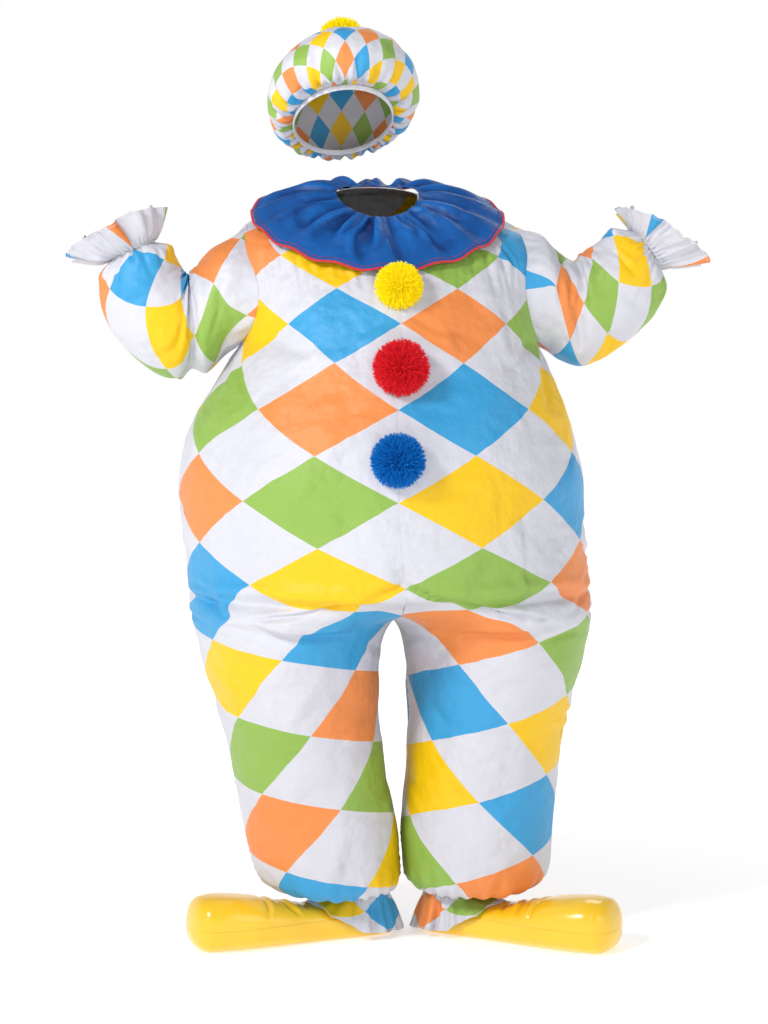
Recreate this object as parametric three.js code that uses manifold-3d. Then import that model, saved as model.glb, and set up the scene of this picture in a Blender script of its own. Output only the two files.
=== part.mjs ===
// An inflatable clown costume, blown up and worn: a jumpsuit of printed cloth with a gathered
// collar, yarn pompoms and frilled wrists and ankles, a puffed cap and a pair of overshoes.
// Millimetres, +Z up. The front faces -Y and the wearer's right side is -X.
// Heights are worked out from the soles, and the whole part is then moved down so that its
// origin lies between the wearer's shoulders, which carry it.

import * as THREE from 'three';
import Module from 'manifold-3d';

const wasm = await Module();
wasm.setup();

// ---------------------------------------------------------------- driving dimensions

const SHOULDER_HEIGHT = 1400; // origin above the soles
const CLOTH = 2; // wall of the body, the sleeves and the cap
const FRILL_CLOTH = 1.6; // wall of the frills and the collar
const VINYL = 3; // wall of the overshoes
const SEAM_GAP = 0.3; // between two pieces that are sewn together

const RIGHT = -1; // the wearer's right, on the -X side
const LEFT = 1;
const FRONT = 1;
const BACK = -1;

// Body sections, from the neck to the ankle elastic. Each is an ellipse on either side of the
// middle seam, cut off where it crosses that seam: lean is where the seam lies in X, offset the
// ellipse's centre from it, half its half width, front and back its depths, drop and rise how
// far the front and back of the section tip down and up, and lift what the cloth turns back up.
const BODY_COLUMNS = ['level', 'lean', 'offset', 'half', 'front', 'back', 'drop', 'rise', 'lift'];
const BODY_SECTIONS = [
  [1424, -16, 0, 80, 76, 78, 50, 20, 0], // neck edge
  [1410, -14, 0, 114, 88, 100, 46, 32, 0],
  [1394, -12, 0, 164, 104, 124, 42, 44, 0],
  [1375, -8, 0, 228, 126, 152, 40, 56, 0], // shoulder
  [1350, -3, 0, 272, 148, 184, 34, 56, 0],
  [1302, 3, 0, 292, 180, 222, 20, 36, 0],
  [1225, 8, 0, 288, 226, 252, 6, 10, 0], // armhole
  [1148, 10, 0, 284, 262, 274, 0, 0, 0],
  [1110, 6, 0, 302, 279, 284, 0, 0, 0],
  [1060, 2, 0, 328, 300, 296, 0, 0, 0],
  [1006, -3, 0, 357, 322, 308, 0, 0, 0],
  [950, -7, 0, 375, 340, 316, 0, 0, 0],
  [872, -5, 0, 388, 354, 322, 0, 0, 0], // belly
  [795, -1, 0, 386, 356, 322, 0, 0, 0],
  [716, 7, 0, 386, 350, 318, 0, 0, 0],
  [692, 9, 40, 346, 342, 315, 0, 0, 0],
  [668, 11, 90, 296, 328, 308, 0, 0, 0],
  [645, 12, 145, 240, 308, 298, 0, 0, 0],
  [628, 13, 181, 203, 293, 290, 0, 0, 0],
  [614, 14, 192, 191, 280, 281, 0, 0, 0], // crotch
  [580, 15, 197, 178, 263, 267, 0, 0, 0],
  [530, 16, 196, 169, 245, 249, 0, 0, 0],
  [484, 17, 188, 161, 228, 232, 0, 0, 0],
  [436, 18, 184, 155, 211, 214, 0, 0, 0],
  [382, 20, 175, 150, 193, 195, 0, 0, 0], // knee
  [305, 23, 166, 147, 171, 172, 0, 0, 0],
  [255, 26, 158, 148, 161, 163, 0, 0, 0],
  [204, 29, 151, 148, 154, 156, 0, 0, 0],
  [150, 33, 147, 144, 147, 149, 4, 0, 0],
  [118, 36, 142, 137, 138, 140, 9, 0, 0],
  [100, 39, 134, 118, 119, 121, 11, 0, 0],
  [91, 42, 122, 94, 94, 95, 6, 0, 1],
  [84, 44, 108, 72, 72, 72, 2, 0, 6],
  [78, 44, 90, 50, 50, 50, 0, 0, 15], // ankle elastic
];

// Heights of the panels' rows outside the armhole, whose rows follow its curve.
const SHOULDER_ROWS = [1424, 1410, 1394, 1376];
const TRUNK_ROWS = [1095, 1040, 975, 905, 830, 760, 712, 684, 660, 640, 626, 614];
const LEG_ROWS = [604, 588, 556, 500, 430, 350, 270, 200, 150, 118, 100, 91, 84, 78];
const PANEL_COLUMNS = 8;

const ARMHOLE = { level: 1251, height: 112, angle: THREE.MathUtils.degToRad(30), rows: 8 };

// The largest folds: angle is round the section from the side seam in degrees, level the height
// there, climb the height gained for each degree towards the inside, reach half its length in
// degrees, depth how deep it is and width half how wide.
const FOLD_COLUMNS = ['side', 'face', 'angle', 'level', 'climb', 'reach', 'depth', 'width'];
const FOLDS = [
  [RIGHT, FRONT, 128, 612, 0.05, 66, 20, 12], // under the belly
  [LEFT, FRONT, 128, 612, 0.05, 66, 20, 12],
  [RIGHT, BACK, 118, 606, 0, 60, 16, 13], // under the seat
  [LEFT, BACK, 118, 606, 0, 60, 16, 13],
];

// Sleeve rings beyond the armhole: the ring's top and low point in the front view, how far its
// centre lies forward, and half its depth. The last is the wrist elastic.
const SLEEVE_COLUMNS = ['topX', 'topZ', 'lowX', 'lowZ', 'forward', 'depth'];
const RIGHT_SLEEVE = [
  [-294, 1340, -305, 1117, 0, 104],
  [-326, 1323, -323, 1098, 2, 99],
  [-355, 1294, -342, 1085, 6, 90],
  [-371, 1275, -366, 1093, 9, 76], // elbow crease
  [-375, 1272, -392, 1071, 12, 84],
  [-378, 1274, -432, 1083, 15, 88],
  [-382, 1279, -482, 1121, 18, 86],
  [-387, 1287, -520, 1167, 20, 81],
  [-394, 1301, -538, 1217, 22, 75],
  [-404, 1325, -540, 1261, 24, 63],
  [-438, 1332, -515, 1300, 25, 40],
];
const LEFT_SLEEVE = [
  [298, 1350, 315, 1127, 0, 104],
  [326, 1323, 340, 1110, 2, 99],
  [357, 1302, 374, 1098, 8, 84], // elbow crease
  [380, 1315, 413, 1110, 11, 92],
  [399, 1327, 453, 1133, 14, 90],
  [415, 1337, 493, 1167, 17, 85],
  [424, 1350, 522, 1202, 20, 77],
  [436, 1362, 540, 1244, 23, 64],
  [476, 1356, 528, 1284, 25, 41],
];
const SLEEVE_POINTS = 2 * ARMHOLE.rows;

// Frill rings beyond the elastic, with tip, how far the ring's back edge stands beyond its
// front edge, and ruffle, the depth of the waves.
const FRILL_COLUMNS = [...SLEEVE_COLUMNS, 'tip', 'ruffle'];
const RIGHT_FRILL = [
  [-428, 1352, -543, 1290, 28, 54, 12, 3],
  [-427, 1380, -584, 1300, 32, 68, 26, 7],
];
const LEFT_FRILL = [
  [466, 1373, 560, 1286, 28, 54, 8, 3],
  [458, 1387, 605, 1297, 32, 66, 14, 7],
];
const WRIST_WAVES = 12;
const POINTS_A_WAVE = 4;

// Collar: half widths in X and depths in Y of its two edges, and the height of each edge at
// the front, the sides and the back.
const COLLAR = {
  centreX: -12,
  inner: { half: 79, front: 75, back: 77, heightFront: 1377.6, heightSide: 1426.4, heightBack: 1446.6 },
  outer: { half: 238, front: 204, back: 196, heightFront: 1277, heightSide: 1388, heightBack: 1453 },
  arch: 11,
  gathers: 16,
  pointsAGather: 6,
  rows: 4,
};
const BINDING = { width: 5, thickness: 4 };

// Pompoms on the front: height, radius and colour.
const POMPOM_COLUMNS = ['name', 'level', 'radius', 'colour'];
const BODY_POMPOMS = [
  ['pompom_yellow', 1243, 37, 0xffe100],
  ['pompom_red', 1088, 43, 0xd21423],
  ['pompom_blue', 927, 41, 0x0058a8],
];
const POMPOM_SEAT = 0.4; // how much of its radius a pompom's flat back lies behind its centre
const POMPOM_CORE = 0.74; // radius of the backing that the locks grow from

// Cap: its opening is an ellipse, tipped back and leaning to the wearer's right.
const CAP = {
  centre: new THREE.Vector3(-78, 0, 1569),
  half: 96,
  front: 112,
  tipBack: THREE.MathUtils.degToRad(28),
  roll: THREE.MathUtils.degToRad(5),
  slump: { toLeft: 0.1, forward: 0.2 }, // how far the crown leans over for each mm of height
  gathers: 12,
  gatherDepth: 4,
  pointsAGather: 3,
  bandWidth: 10,
  bandThickness: 3,
  pompomRadius: 38,
};
// The crown's profile: height above the opening, and reach beyond the opening's ellipse.
const CAP_PROFILE = [
  { up: 0, reach: 1.0 },
  { up: -4, reach: 1.2 },
  { up: 10, reach: 1.42 },
  { up: 37, reach: 1.52 },
  { up: 67, reach: 1.45 },
  { up: 99, reach: 1.18 },
  { up: 124, reach: 0.76 },
  { up: 137, reach: 0.32 },
];
const CAP_TOP = 140;

// Ankle frills and overshoes. A shoe points along its own +X from the ankle, turned out from
// straight ahead by turnOut.
const ANKLE = { x: 90, lean: 44 };
const ANKLE_WAVES = 10;
// Rings of the ankle frill: reach and level over the toe, at the sides and at the heel.
const ANKLE_RINGS = [
  { toe: 49, side: 49, heel: 49, toeLevel: 92.3, sideLevel: 92.3, heelLevel: 92.3, ruffle: 0 },
  { toe: 56, side: 52, heel: 52, toeLevel: 83, sideLevel: 84, heelLevel: 84, ruffle: 1 },
  { toe: 84, side: 61, heel: 68, toeLevel: 75, sideLevel: 52, heelLevel: 50, ruffle: 3 },
  { toe: 110, side: 71, heel: 80, toeLevel: 70.9, sideLevel: 14, heelLevel: 9, ruffle: 5 },
];
const SHOES = [
  { name: 'right', side: RIGHT, turnOut: THREE.MathUtils.degToRad(72) },
  { name: 'left', side: LEFT, turnOut: THREE.MathUtils.degToRad(56) },
];
// Sections along a shoe: from the ankle, half the width and the height.
const SHOE_SECTIONS = [
  { along: -61, half: 14, height: 44 },
  { along: -54, half: 29, height: 53 },
  { along: -34, half: 42, height: 58 },
  { along: 0, half: 46, height: 60 },
  { along: 60, half: 49, height: 63 },
  { along: 125, half: 55, height: 70 },
  { along: 190, half: 64, height: 84 },
  { along: 250, half: 69, height: 96 },
  { along: 300, half: 66, height: 100 },
  { along: 333, half: 52, height: 93 },
  { along: 348, half: 26, height: 74 },
];
const SHOE = { points: 18, square: 2.7, widest: 0.42, flat: 4, soleHeight: 43, insole: 8 };
const FOOT_HOLE = { along: 40, half: 33 };

// ---------------------------------------------------------------- curves and walls

/** Rows of a table as objects, with the table's column names. */
const named = (columns, rows) =>
  rows.map((row) => Object.fromEntries(columns.map((column, i) => [column, row[i]])));

/** A smooth curve through points that never swings past them. */
function smoothCurve(xs, ys) {
  const last = xs.length - 1;
  const slopes = xs.slice(1).map((x, i) => (ys[i + 1] - ys[i]) / (x - xs[i]));
  const tangents = xs.map((x, i) => {
    if (i === 0 || i === last) return slopes[i === 0 ? 0 : last - 1];
    if (slopes[i - 1] * slopes[i] <= 0) return 0;
    const before = x - xs[i - 1];
    const after = xs[i + 1] - x;
    const first = 2 * after + before;
    const second = after + 2 * before;
    return (first + second) / (first / slopes[i - 1] + second / slopes[i]);
  });
  return (x) => {
    let i = 0;
    while (i < last - 1 && x > xs[i + 1]) i++;
    const width = xs[i + 1] - xs[i];
    const t = (x - xs[i]) / width;
    const t2 = t * t;
    const t3 = t2 * t;
    return (
      ys[i] * (2 * t3 - 3 * t2 + 1) +
      width * tangents[i] * (t3 - 2 * t2 + t) +
      ys[i + 1] * (3 * t2 - 2 * t3) +
      width * tangents[i + 1] * (t3 - t2)
    );
  };
}

/** The outward normal of a surface at (u, v), from its two directions there. */
function normalAt(surface, u, v, stepU, stepV, sign) {
  const alongU = surface(u + stepU, v).sub(surface(u - stepU, v));
  const alongV = surface(u, v + stepV).sub(surface(u, v - stepV));
  return alongU.cross(alongV).normalize().multiplyScalar(sign);
}

/** A closed mesh from points and triangles, turned so that its faces point out. */
function closedGeometry(points, triangles) {
  let volume = 0;
  for (const [a, b, c] of triangles) {
    volume += points[a].dot(points[b].clone().cross(points[c]));
  }
  const faces = volume < 0 ? triangles.map(([a, b, c]) => [a, c, b]) : triangles;
  const geometry = new THREE.BufferGeometry();
  geometry.setAttribute(
    'position',
    new THREE.Float32BufferAttribute(points.flatMap((p) => p.toArray()), 3),
  );
  geometry.setIndex(faces.flat());
  geometry.computeVertexNormals();
  return geometry;
}

/**
 * A cloth wall. outer and inner are rows of points; ring joins each row's end to its start,
 * and pole, where given, holds the outer and inner point that the last row closes on.
 */
function wall(outer, inner, { ring = false, pole = null } = {}) {
  const rows = outer.length;
  const columns = outer[0].length;
  const points = [...outer.flat(), ...inner.flat()];
  const out = (row, column) => row * columns + (column % columns);
  const into = (row, column) => rows * columns + out(row, column);
  const triangles = [];
  const quad = (a, b, c, d) => triangles.push([a, b, c], [a, c, d]);
  const spans = ring ? columns : columns - 1;
  for (let column = 0; column < spans; column++) {
    const next = column + 1;
    for (let row = 0; row < rows - 1; row++) {
      quad(out(row, column), out(row, next), out(row + 1, next), out(row + 1, column));
      quad(into(row, column), into(row + 1, column), into(row + 1, next), into(row, next));
    }
    quad(into(0, column), into(0, next), out(0, next), out(0, column));
    const top = rows - 1;
    if (pole) {
      const peak = points.length;
      triangles.push([out(top, column), out(top, next), peak]);
      triangles.push([into(top, next), into(top, column), peak + 1]);
    } else {
      quad(out(top, column), out(top, next), into(top, next), into(top, column));
    }
  }
  if (!ring) {
    const end = columns - 1;
    for (let row = 0; row < rows - 1; row++) {
      quad(out(row, 0), out(row + 1, 0), into(row + 1, 0), into(row, 0));
      quad(into(row, end), into(row + 1, end), out(row + 1, end), out(row, end));
    }
  }
  if (pole) points.push(pole.outer, pole.inner);
  return closedGeometry(points, triangles);
}

const costume = new THREE.Group();

/** Adds a named piece with its own material. */
function add(name, geometry, color, roughness, metalness = 0) {
  const material = new THREE.MeshStandardMaterial({ color, roughness, metalness });
  const mesh = new THREE.Mesh(geometry, material);
  mesh.name = name;
  costume.add(mesh);
  return mesh;
}

// ---------------------------------------------------------------- jumpsuit body

const bodyRows = named(BODY_COLUMNS, BODY_SECTIONS).reverse();
const bodyCurves = Object.fromEntries(
  BODY_COLUMNS.slice(1).map((column) => [
    column,
    smoothCurve(bodyRows.map((row) => row.level), bodyRows.map((row) => row[column])),
  ]),
);
const folds = named(FOLD_COLUMNS, FOLDS);

/** How deep the folds press the cloth in at one place of the body. */
function foldDepth(side, angle, level) {
  const face = angle >= 0 ? FRONT : BACK;
  const degrees = Math.abs(THREE.MathUtils.radToDeg(angle));
  let depth = 0;
  for (const fold of folds) {
    const along = (degrees - fold.angle) / fold.reach;
    if (fold.side !== side || fold.face !== face || Math.abs(along) >= 1) continue;
    const off = (level - fold.level - fold.climb * (degrees - fold.angle)) / fold.width;
    depth += fold.depth * Math.cos((along * Math.PI) / 2) ** 2 * Math.exp(-off * off);
  }
  return depth;
}

/** A point of the body: angle 0 is the side seam, positive towards the front. */
function bodyPoint(side, angle, level) {
  const at = (column) => bodyCurves[column](level);
  const inFront = angle >= 0;
  const depth = at(inFront ? 'front' : 'back');
  const tip = at(inFront ? 'drop' : 'rise');
  const tuck = 1 - foldDepth(side, angle, level) / depth;
  const across = Math.cos(angle) * (Math.cos(angle) > 0 ? tuck : 1);
  return new THREE.Vector3(
    at('lean') + side * (at('offset') + at('half') * across),
    -depth * tuck * Math.sin(angle),
    level + at('lift') - tip * Math.sin(angle),
  );
}

/** Half the armhole's angle at one height, 0 above and below it. */
function armholeAngle(level) {
  const off = (level - ARMHOLE.level) / ARMHOLE.height;
  return ARMHOLE.angle * Math.sqrt(Math.max(0, 1 - off * off));
}

/** Where a panel ends: at the middle seam, or at the inside of the leg. */
function insideAngle(level, depth) {
  const edge = bodyCurves.offset(level) - SEAM_GAP / 2;
  const atSeam = Math.acos(Math.max(-1, -edge / bodyCurves.half(level)));
  return Math.min(atSeam, Math.PI - SEAM_GAP / 2 / depth);
}

const armholeRows = Array.from({ length: ARMHOLE.rows + 1 }, (_, i) => {
  const turn = (i / ARMHOLE.rows) * Math.PI;
  return ARMHOLE.level + ARMHOLE.height * Math.cos(turn);
});
const panelRows = [...SHOULDER_ROWS, ...armholeRows, ...TRUNK_ROWS, ...LEG_ROWS];

/** The body's outward normal. Where front and back meet, both take the mean of the two. */
function bodyNormal(side, angle, level) {
  const surface = (turn, height) => bodyPoint(side, turn, height);
  const normal = normalAt(surface, angle, level, 0.001, 0.2, -side);
  const seamed = Math.abs(surface(angle, level).y) < SEAM_GAP;
  if (seamed) normal.add(normalAt(surface, -angle, level, 0.001, 0.2, -side)).normalize();
  return normal;
}

function bodyPanel(side, face) {
  const outer = [];
  const inner = [];
  for (const level of panelRows) {
    const depth = bodyCurves[face === FRONT ? 'front' : 'back'](level);
    const start = Math.max(armholeAngle(level), SEAM_GAP / 2 / depth);
    const end = insideAngle(level, depth);
    const outerRow = [];
    const innerRow = [];
    for (let column = 0; column < PANEL_COLUMNS; column++) {
      const angle = face * THREE.MathUtils.lerp(start, end, column / (PANEL_COLUMNS - 1));
      const point = bodyPoint(side, angle, level);
      outerRow.push(point);
      innerRow.push(point.clone().addScaledVector(bodyNormal(side, angle, level), -CLOTH));
    }
    outer.push(outerRow);
    inner.push(innerRow);
  }
  return wall(outer, inner);
}

add('front_right', bodyPanel(RIGHT, FRONT), 0xe8e8ee, 0.75);
add('front_left', bodyPanel(LEFT, FRONT), 0xe8e8ee, 0.75);
add('back_right', bodyPanel(RIGHT, BACK), 0xe8e8ee, 0.75);
add('back_left', bodyPanel(LEFT, BACK), 0xe8e8ee, 0.75);

// ---------------------------------------------------------------- sleeves and wrist frills

/** A point of a ring given by its top and low point: turn 0 is the top, a quarter the front. */
function ringPoint(ring, turn, waves = 0) {
  const top = new THREE.Vector3(ring.topX, -ring.forward, ring.topZ);
  const low = new THREE.Vector3(ring.lowX, -ring.forward, ring.lowZ);
  const centre = top.clone().add(low).divideScalar(2);
  const up = top.clone().sub(low).divideScalar(2);
  const beyond = up.clone().normalize().cross(new THREE.Vector3(0, Math.sign(ring.topX), 0));
  const radius = up.length();
  const swell = 1 + ((ring.ruffle ?? 0) / radius) * Math.cos(waves * turn);
  return centre
    .addScaledVector(up, swell * Math.cos(turn))
    .addScaledVector(new THREE.Vector3(0, -1, 0), swell * ring.depth * Math.sin(turn))
    .addScaledVector(beyond, -((ring.tip ?? 0) / 2) * Math.sin(turn));
}

/** A smooth tube through rings of points: u is the turn round it, v the ring's number. */
function tubeSurface(ringAt, count) {
  return (u, v) => {
    const i = Math.min(Math.max(Math.floor(v), 0), count - 2);
    const corners = [i - 1, i, i + 1, i + 2].map((n) => {
      const inside = Math.min(Math.max(n, 0), count - 1);
      const point = ringAt(inside, u);
      if (n === inside) return point;
      const neighbour = ringAt(n < 0 ? 1 : count - 2, u);
      return point.multiplyScalar(2).sub(neighbour);
    });
    return new THREE.CatmullRomCurve3(corners).getPoint((v - i + 1) / 3);
  };
}

/** A tube wall through rings, with one row of the wall for each ring. */
function tubeWall(ringAt, count, columns, thickness, sign) {
  const surface = tubeSurface(ringAt, count);
  const outer = [];
  const inner = [];
  for (let row = 0; row < count; row++) {
    const outerRow = [];
    const innerRow = [];
    for (let column = 0; column < columns; column++) {
      const turn = (column / columns) * 2 * Math.PI;
      const point = ringAt(row, turn);
      outerRow.push(point);
      const normal = normalAt(surface, turn, row, 0.01, 0.02, sign);
      innerRow.push(point.clone().addScaledVector(normal, -thickness));
    }
    outer.push(outerRow);
    inner.push(innerRow);
  }
  return wall(outer, inner, { ring: true });
}

/** The armhole's edge, drawn in by the seam gap. */
function armholePoint(side, turn) {
  const drawnIn = 1 - (1.5 * SEAM_GAP) / ARMHOLE.height;
  const angle = ARMHOLE.angle * drawnIn * Math.sin(turn);
  return bodyPoint(side, angle, ARMHOLE.level + ARMHOLE.height * drawnIn * Math.cos(turn));
}

function addSleeve(name, side, sleeveTable, frillTable) {
  const rings = named(SLEEVE_COLUMNS, sleeveTable);
  const sleeveRing = (row, turn) =>
    row === 0 ? armholePoint(side, turn) : ringPoint(rings[row - 1], turn);
  const sleeve = tubeWall(sleeveRing, rings.length + 1, SLEEVE_POINTS, CLOTH, side);
  add(`sleeve_${name}`, sleeve, 0xe8e8ee, 0.75);

  const elastic = rings[rings.length - 1];
  const frills = named(FRILL_COLUMNS, frillTable);
  const surface = tubeSurface(sleeveRing, rings.length + 1);
  const frillRing = (row, turn) => {
    if (row > 0) return ringPoint(frills[row - 1], turn, WRIST_WAVES);
    const before = surface(turn, rings.length - 0.02);
    const edge = ringPoint(elastic, turn);
    return edge.clone().addScaledVector(edge.clone().sub(before).normalize(), SEAM_GAP);
  };
  const columns = WRIST_WAVES * POINTS_A_WAVE;
  const frill = tubeWall(frillRing, frills.length + 1, columns, FRILL_CLOTH, side);
  add(`wrist_frill_${name}`, frill, 0xf0f0f4, 0.75);
}

addSleeve('right', RIGHT, RIGHT_SLEEVE, RIGHT_FRILL);
addSleeve('left', LEFT, LEFT_SLEEVE, LEFT_FRILL);

// ---------------------------------------------------------------- collar and its binding

/** Height of a collar edge: turn 0 is the front, half a turn the back. */
function edgeHeight(edge, turn) {
  const mean = (edge.heightFront + edge.heightBack + 2 * edge.heightSide) / 4;
  const slant = (edge.heightFront - edge.heightBack) / 2;
  const bow = (edge.heightFront + edge.heightBack - 2 * edge.heightSide) / 4;
  return mean + slant * Math.cos(turn) + bow * Math.cos(2 * turn);
}

function edgePoint(edge, turn) {
  const depth = Math.cos(turn) > 0 ? edge.front : edge.back;
  return new THREE.Vector3(
    COLLAR.centreX + edge.half * Math.sin(turn),
    -depth * Math.cos(turn),
    edgeHeight(edge, turn),
  );
}

/** The collar's upper side: out is 0 at the neck and 1 at the binding. */
function collarPoint(turn, out) {
  const point = edgePoint(COLLAR.inner, turn).lerp(edgePoint(COLLAR.outer, turn), out);
  const gather = 0.3 + 26 * out * Math.max(0, 1 - out) ** 1.4 + 3 * out;
  point.z += COLLAR.arch * Math.sin(Math.PI * out) + gather * Math.cos(COLLAR.gathers * turn);
  return point;
}

function collarWall() {
  const outer = [];
  const inner = [];
  const columns = COLLAR.gathers * COLLAR.pointsAGather;
  for (let row = 0; row < COLLAR.rows; row++) {
    const out = row / (COLLAR.rows - 1);
    const turns = Array.from({ length: columns }, (_, i) => (i / columns) * 2 * Math.PI);
    outer.push(turns.map((turn) => collarPoint(turn, out)));
    inner.push(
      turns.map((turn) => {
        const normal = normalAt(collarPoint, turn, out, 0.004, 0.01, -1);
        return collarPoint(turn, out).addScaledVector(normal, -FRILL_CLOTH);
      }),
    );
  }
  return wall(outer, inner, { ring: true });
}

/** The binding: a band just beyond the collar's edge, following its waves. */
function bindingWall() {
  const columns = COLLAR.gathers * COLLAR.pointsAGather;
  const corners = [[0, 1], [1, 1], [1, -1], [0, -1]];
  const rings = corners.map(([out, up]) =>
    Array.from({ length: columns }, (_, i) => {
      const turn = (i / columns) * 2 * Math.PI;
      const edge = collarPoint(turn, 1);
      const outward = edge.clone().sub(collarPoint(turn, 0.98)).normalize();
      const normal = normalAt(collarPoint, turn, 1, 0.004, 0.01, -1);
      return edge
        .addScaledVector(outward, SEAM_GAP + out * BINDING.width)
        .addScaledVector(normal, (up * BINDING.thickness) / 2 - FRILL_CLOTH / 2);
    }),
  );
  return wall([rings[0], rings[1]], [rings[3], rings[2]], { ring: true });
}

add('collar', collarWall(), 0x005aa5, 0.6);
add('collar_binding', bindingWall(), 0xd7323c, 0.5);

// ---------------------------------------------------------------- pompoms

/** The sixty triangles that the locks grow from: five round each corner of an icosahedron. */
function lockBases() {
  const solid = new THREE.IcosahedronGeometry(1, 0).getAttribute('position');
  const corners = [];
  const cornerOf = (point) => {
    const found = corners.findIndex((other) => other.distanceTo(point) < 1e-4);
    return found >= 0 ? found : corners.push(point) - 1;
  };
  const faces = [];
  for (let i = 0; i < solid.count; i += 3) {
    const points = [0, 1, 2].map((k) => new THREE.Vector3().fromBufferAttribute(solid, i + k));
    const middle = points[0].clone().add(points[1]).add(points[2]).normalize();
    faces.push({ corners: points.map(cornerOf), middle });
  }
  const points = [...corners, ...faces.map((face) => face.middle)];
  const bases = [];
  faces.forEach((face, f) => {
    for (let k = 0; k < 3; k++) {
      const [from, to] = [face.corners[k], face.corners[(k + 1) % 3]];
      const other = faces.findIndex(
        (next) => next !== face && next.corners.includes(from) && next.corners.includes(to),
      );
      bases.push([from, corners.length + other, corners.length + f]);
    }
  });
  return { points, bases };
}

const LOCKS = lockBases();

/** A pompom with three-sided locks and a flat back, seated with its back on a plane. */
function pompom(seat, normal, radius) {
  const turn = new THREE.Quaternion().setFromUnitVectors(new THREE.Vector3(0, 0, 1), normal);
  const flat = -POMPOM_SEAT * radius;
  const place = (point) => {
    point.z = Math.max(point.z, flat) - flat + SEAM_GAP;
    return point.applyQuaternion(turn).add(seat);
  };
  const points = LOCKS.points.map((p) => place(p.clone().multiplyScalar(POMPOM_CORE * radius)));
  const triangles = [];
  for (const [a, b, c] of LOCKS.bases) {
    const tip = LOCKS.points[a].clone().add(LOCKS.points[b]).add(LOCKS.points[c]).normalize();
    if (tip.z * radius < flat) {
      triangles.push([a, b, c]);
      continue;
    }
    const peak = points.push(place(tip.multiplyScalar(radius))) - 1;
    triangles.push([a, b, peak], [b, c, peak], [c, a, peak]);
  }
  return closedGeometry(points, triangles);
}

for (const { name, level, radius, colour } of named(POMPOM_COLUMNS, BODY_POMPOMS)) {
  const middle = (angle, height) => bodyPoint(LEFT, angle, height);
  const seat = middle(Math.PI / 2, level);
  const normal = normalAt(middle, Math.PI / 2, level, 0.01, 1, -LEFT);
  add(name, pompom(seat, normal, radius), colour, 0.9);
}

// ---------------------------------------------------------------- cap

const capTurn = new THREE.Quaternion()
  .setFromAxisAngle(new THREE.Vector3(0, 1, 0), -CAP.roll)
  .multiply(new THREE.Quaternion().setFromAxisAngle(new THREE.Vector3(1, 0, 0), -CAP.tipBack));
const capReach = smoothCurve(CAP_PROFILE.map((_, i) => i), CAP_PROFILE.map((row) => row.reach));
const capUp = smoothCurve(CAP_PROFILE.map((_, i) => i), CAP_PROFILE.map((row) => row.up));

/** A point of the cap in its own frame, slumped, turned and carried to the head. */
function onHead(x, y, z) {
  const point = new THREE.Vector3(x + CAP.slump.toLeft * z, y - CAP.slump.forward * z, z);
  return point.applyQuaternion(capTurn).add(CAP.centre);
}

/** The crown: turn 0 is the front, and row counts the profile's rows. */
function capPoint(turn, row) {
  const fade = Math.max(0, 1 - row / 4);
  const gather = CAP.gatherDepth * fade * Math.sin((Math.min(row, 1) * Math.PI) / 2);
  const reach = capReach(row) + (gather / CAP.half) * Math.cos(CAP.gathers * turn);
  return onHead(
    CAP.half * reach * Math.sin(turn),
    -CAP.front * reach * Math.cos(turn),
    capUp(row),
  );
}

function capCrown() {
  const columns = CAP.gathers * CAP.pointsAGather;
  const outer = [];
  const inner = [];
  for (let row = 0; row < CAP_PROFILE.length; row++) {
    const turns = Array.from({ length: columns }, (_, i) => (i / columns) * 2 * Math.PI);
    outer.push(turns.map((turn) => capPoint(turn, row)));
    inner.push(
      turns.map((turn) => {
        const normal = normalAt(capPoint, turn, row, 0.01, 0.01, 1);
        return capPoint(turn, row).addScaledVector(normal, -CLOTH);
      }),
    );
  }
  const pole = { outer: onHead(0, 0, CAP_TOP), inner: onHead(0, 0, CAP_TOP - CLOTH) };
  return wall(outer, inner, { ring: true, pole });
}

/** The elastic band, just below the crown's edge. */
function capBand() {
  const columns = CAP.gathers * CAP.pointsAGather;
  const ring = (inset, z) =>
    Array.from({ length: columns }, (_, i) => {
      const turn = (i / columns) * 2 * Math.PI;
      return onHead((CAP.half - inset) * Math.sin(turn), -(CAP.front - inset) * Math.cos(turn), z);
    });
  const upper = -SEAM_GAP;
  const outer = [ring(0, upper), ring(1, upper - CAP.bandWidth)];
  const within = CAP.bandThickness;
  const inner = [ring(within, upper), ring(within + 1, upper - CAP.bandWidth)];
  return wall(outer, inner, { ring: true });
}

add('cap_crown', capCrown(), 0xe8e8ee, 0.75);
add('cap_band', capBand(), 0xf0f0f4, 0.8);
const capAxis = new THREE.Vector3(0, 0, 1).applyQuaternion(capTurn);
add('cap_pompom', pompom(onHead(0, 0, CAP_TOP), capAxis, CAP.pompomRadius), 0xffe100, 0.9);

// ---------------------------------------------------------------- ankle frills and overshoes

/** Carries a point from a shoe's own frame, toe along +X, to where the foot stands. */
function onFoot(shoe, x, y, z) {
  const ahead = -Math.PI / 2;
  const turn = ahead + shoe.side * shoe.turnOut;
  const point = new THREE.Vector3(x, y, z).applyAxisAngle(new THREE.Vector3(0, 0, 1), turn);
  point.x += ANKLE.lean + shoe.side * ANKLE.x;
  return point;
}

function ankleRing(shoe, ring, turn, waves) {
  const toe = Math.max(Math.cos(turn), 0) ** 2;
  const heel = Math.max(-Math.cos(turn), 0) ** 2;
  const side = 1 - toe - heel;
  const reach =
    toe * ring.toe + heel * ring.heel + side * ring.side + ring.ruffle * Math.cos(waves * turn);
  const level = toe * ring.toeLevel + heel * ring.heelLevel + side * ring.sideLevel;
  return onFoot(shoe, reach * Math.cos(turn), reach * Math.sin(turn), level);
}

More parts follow.
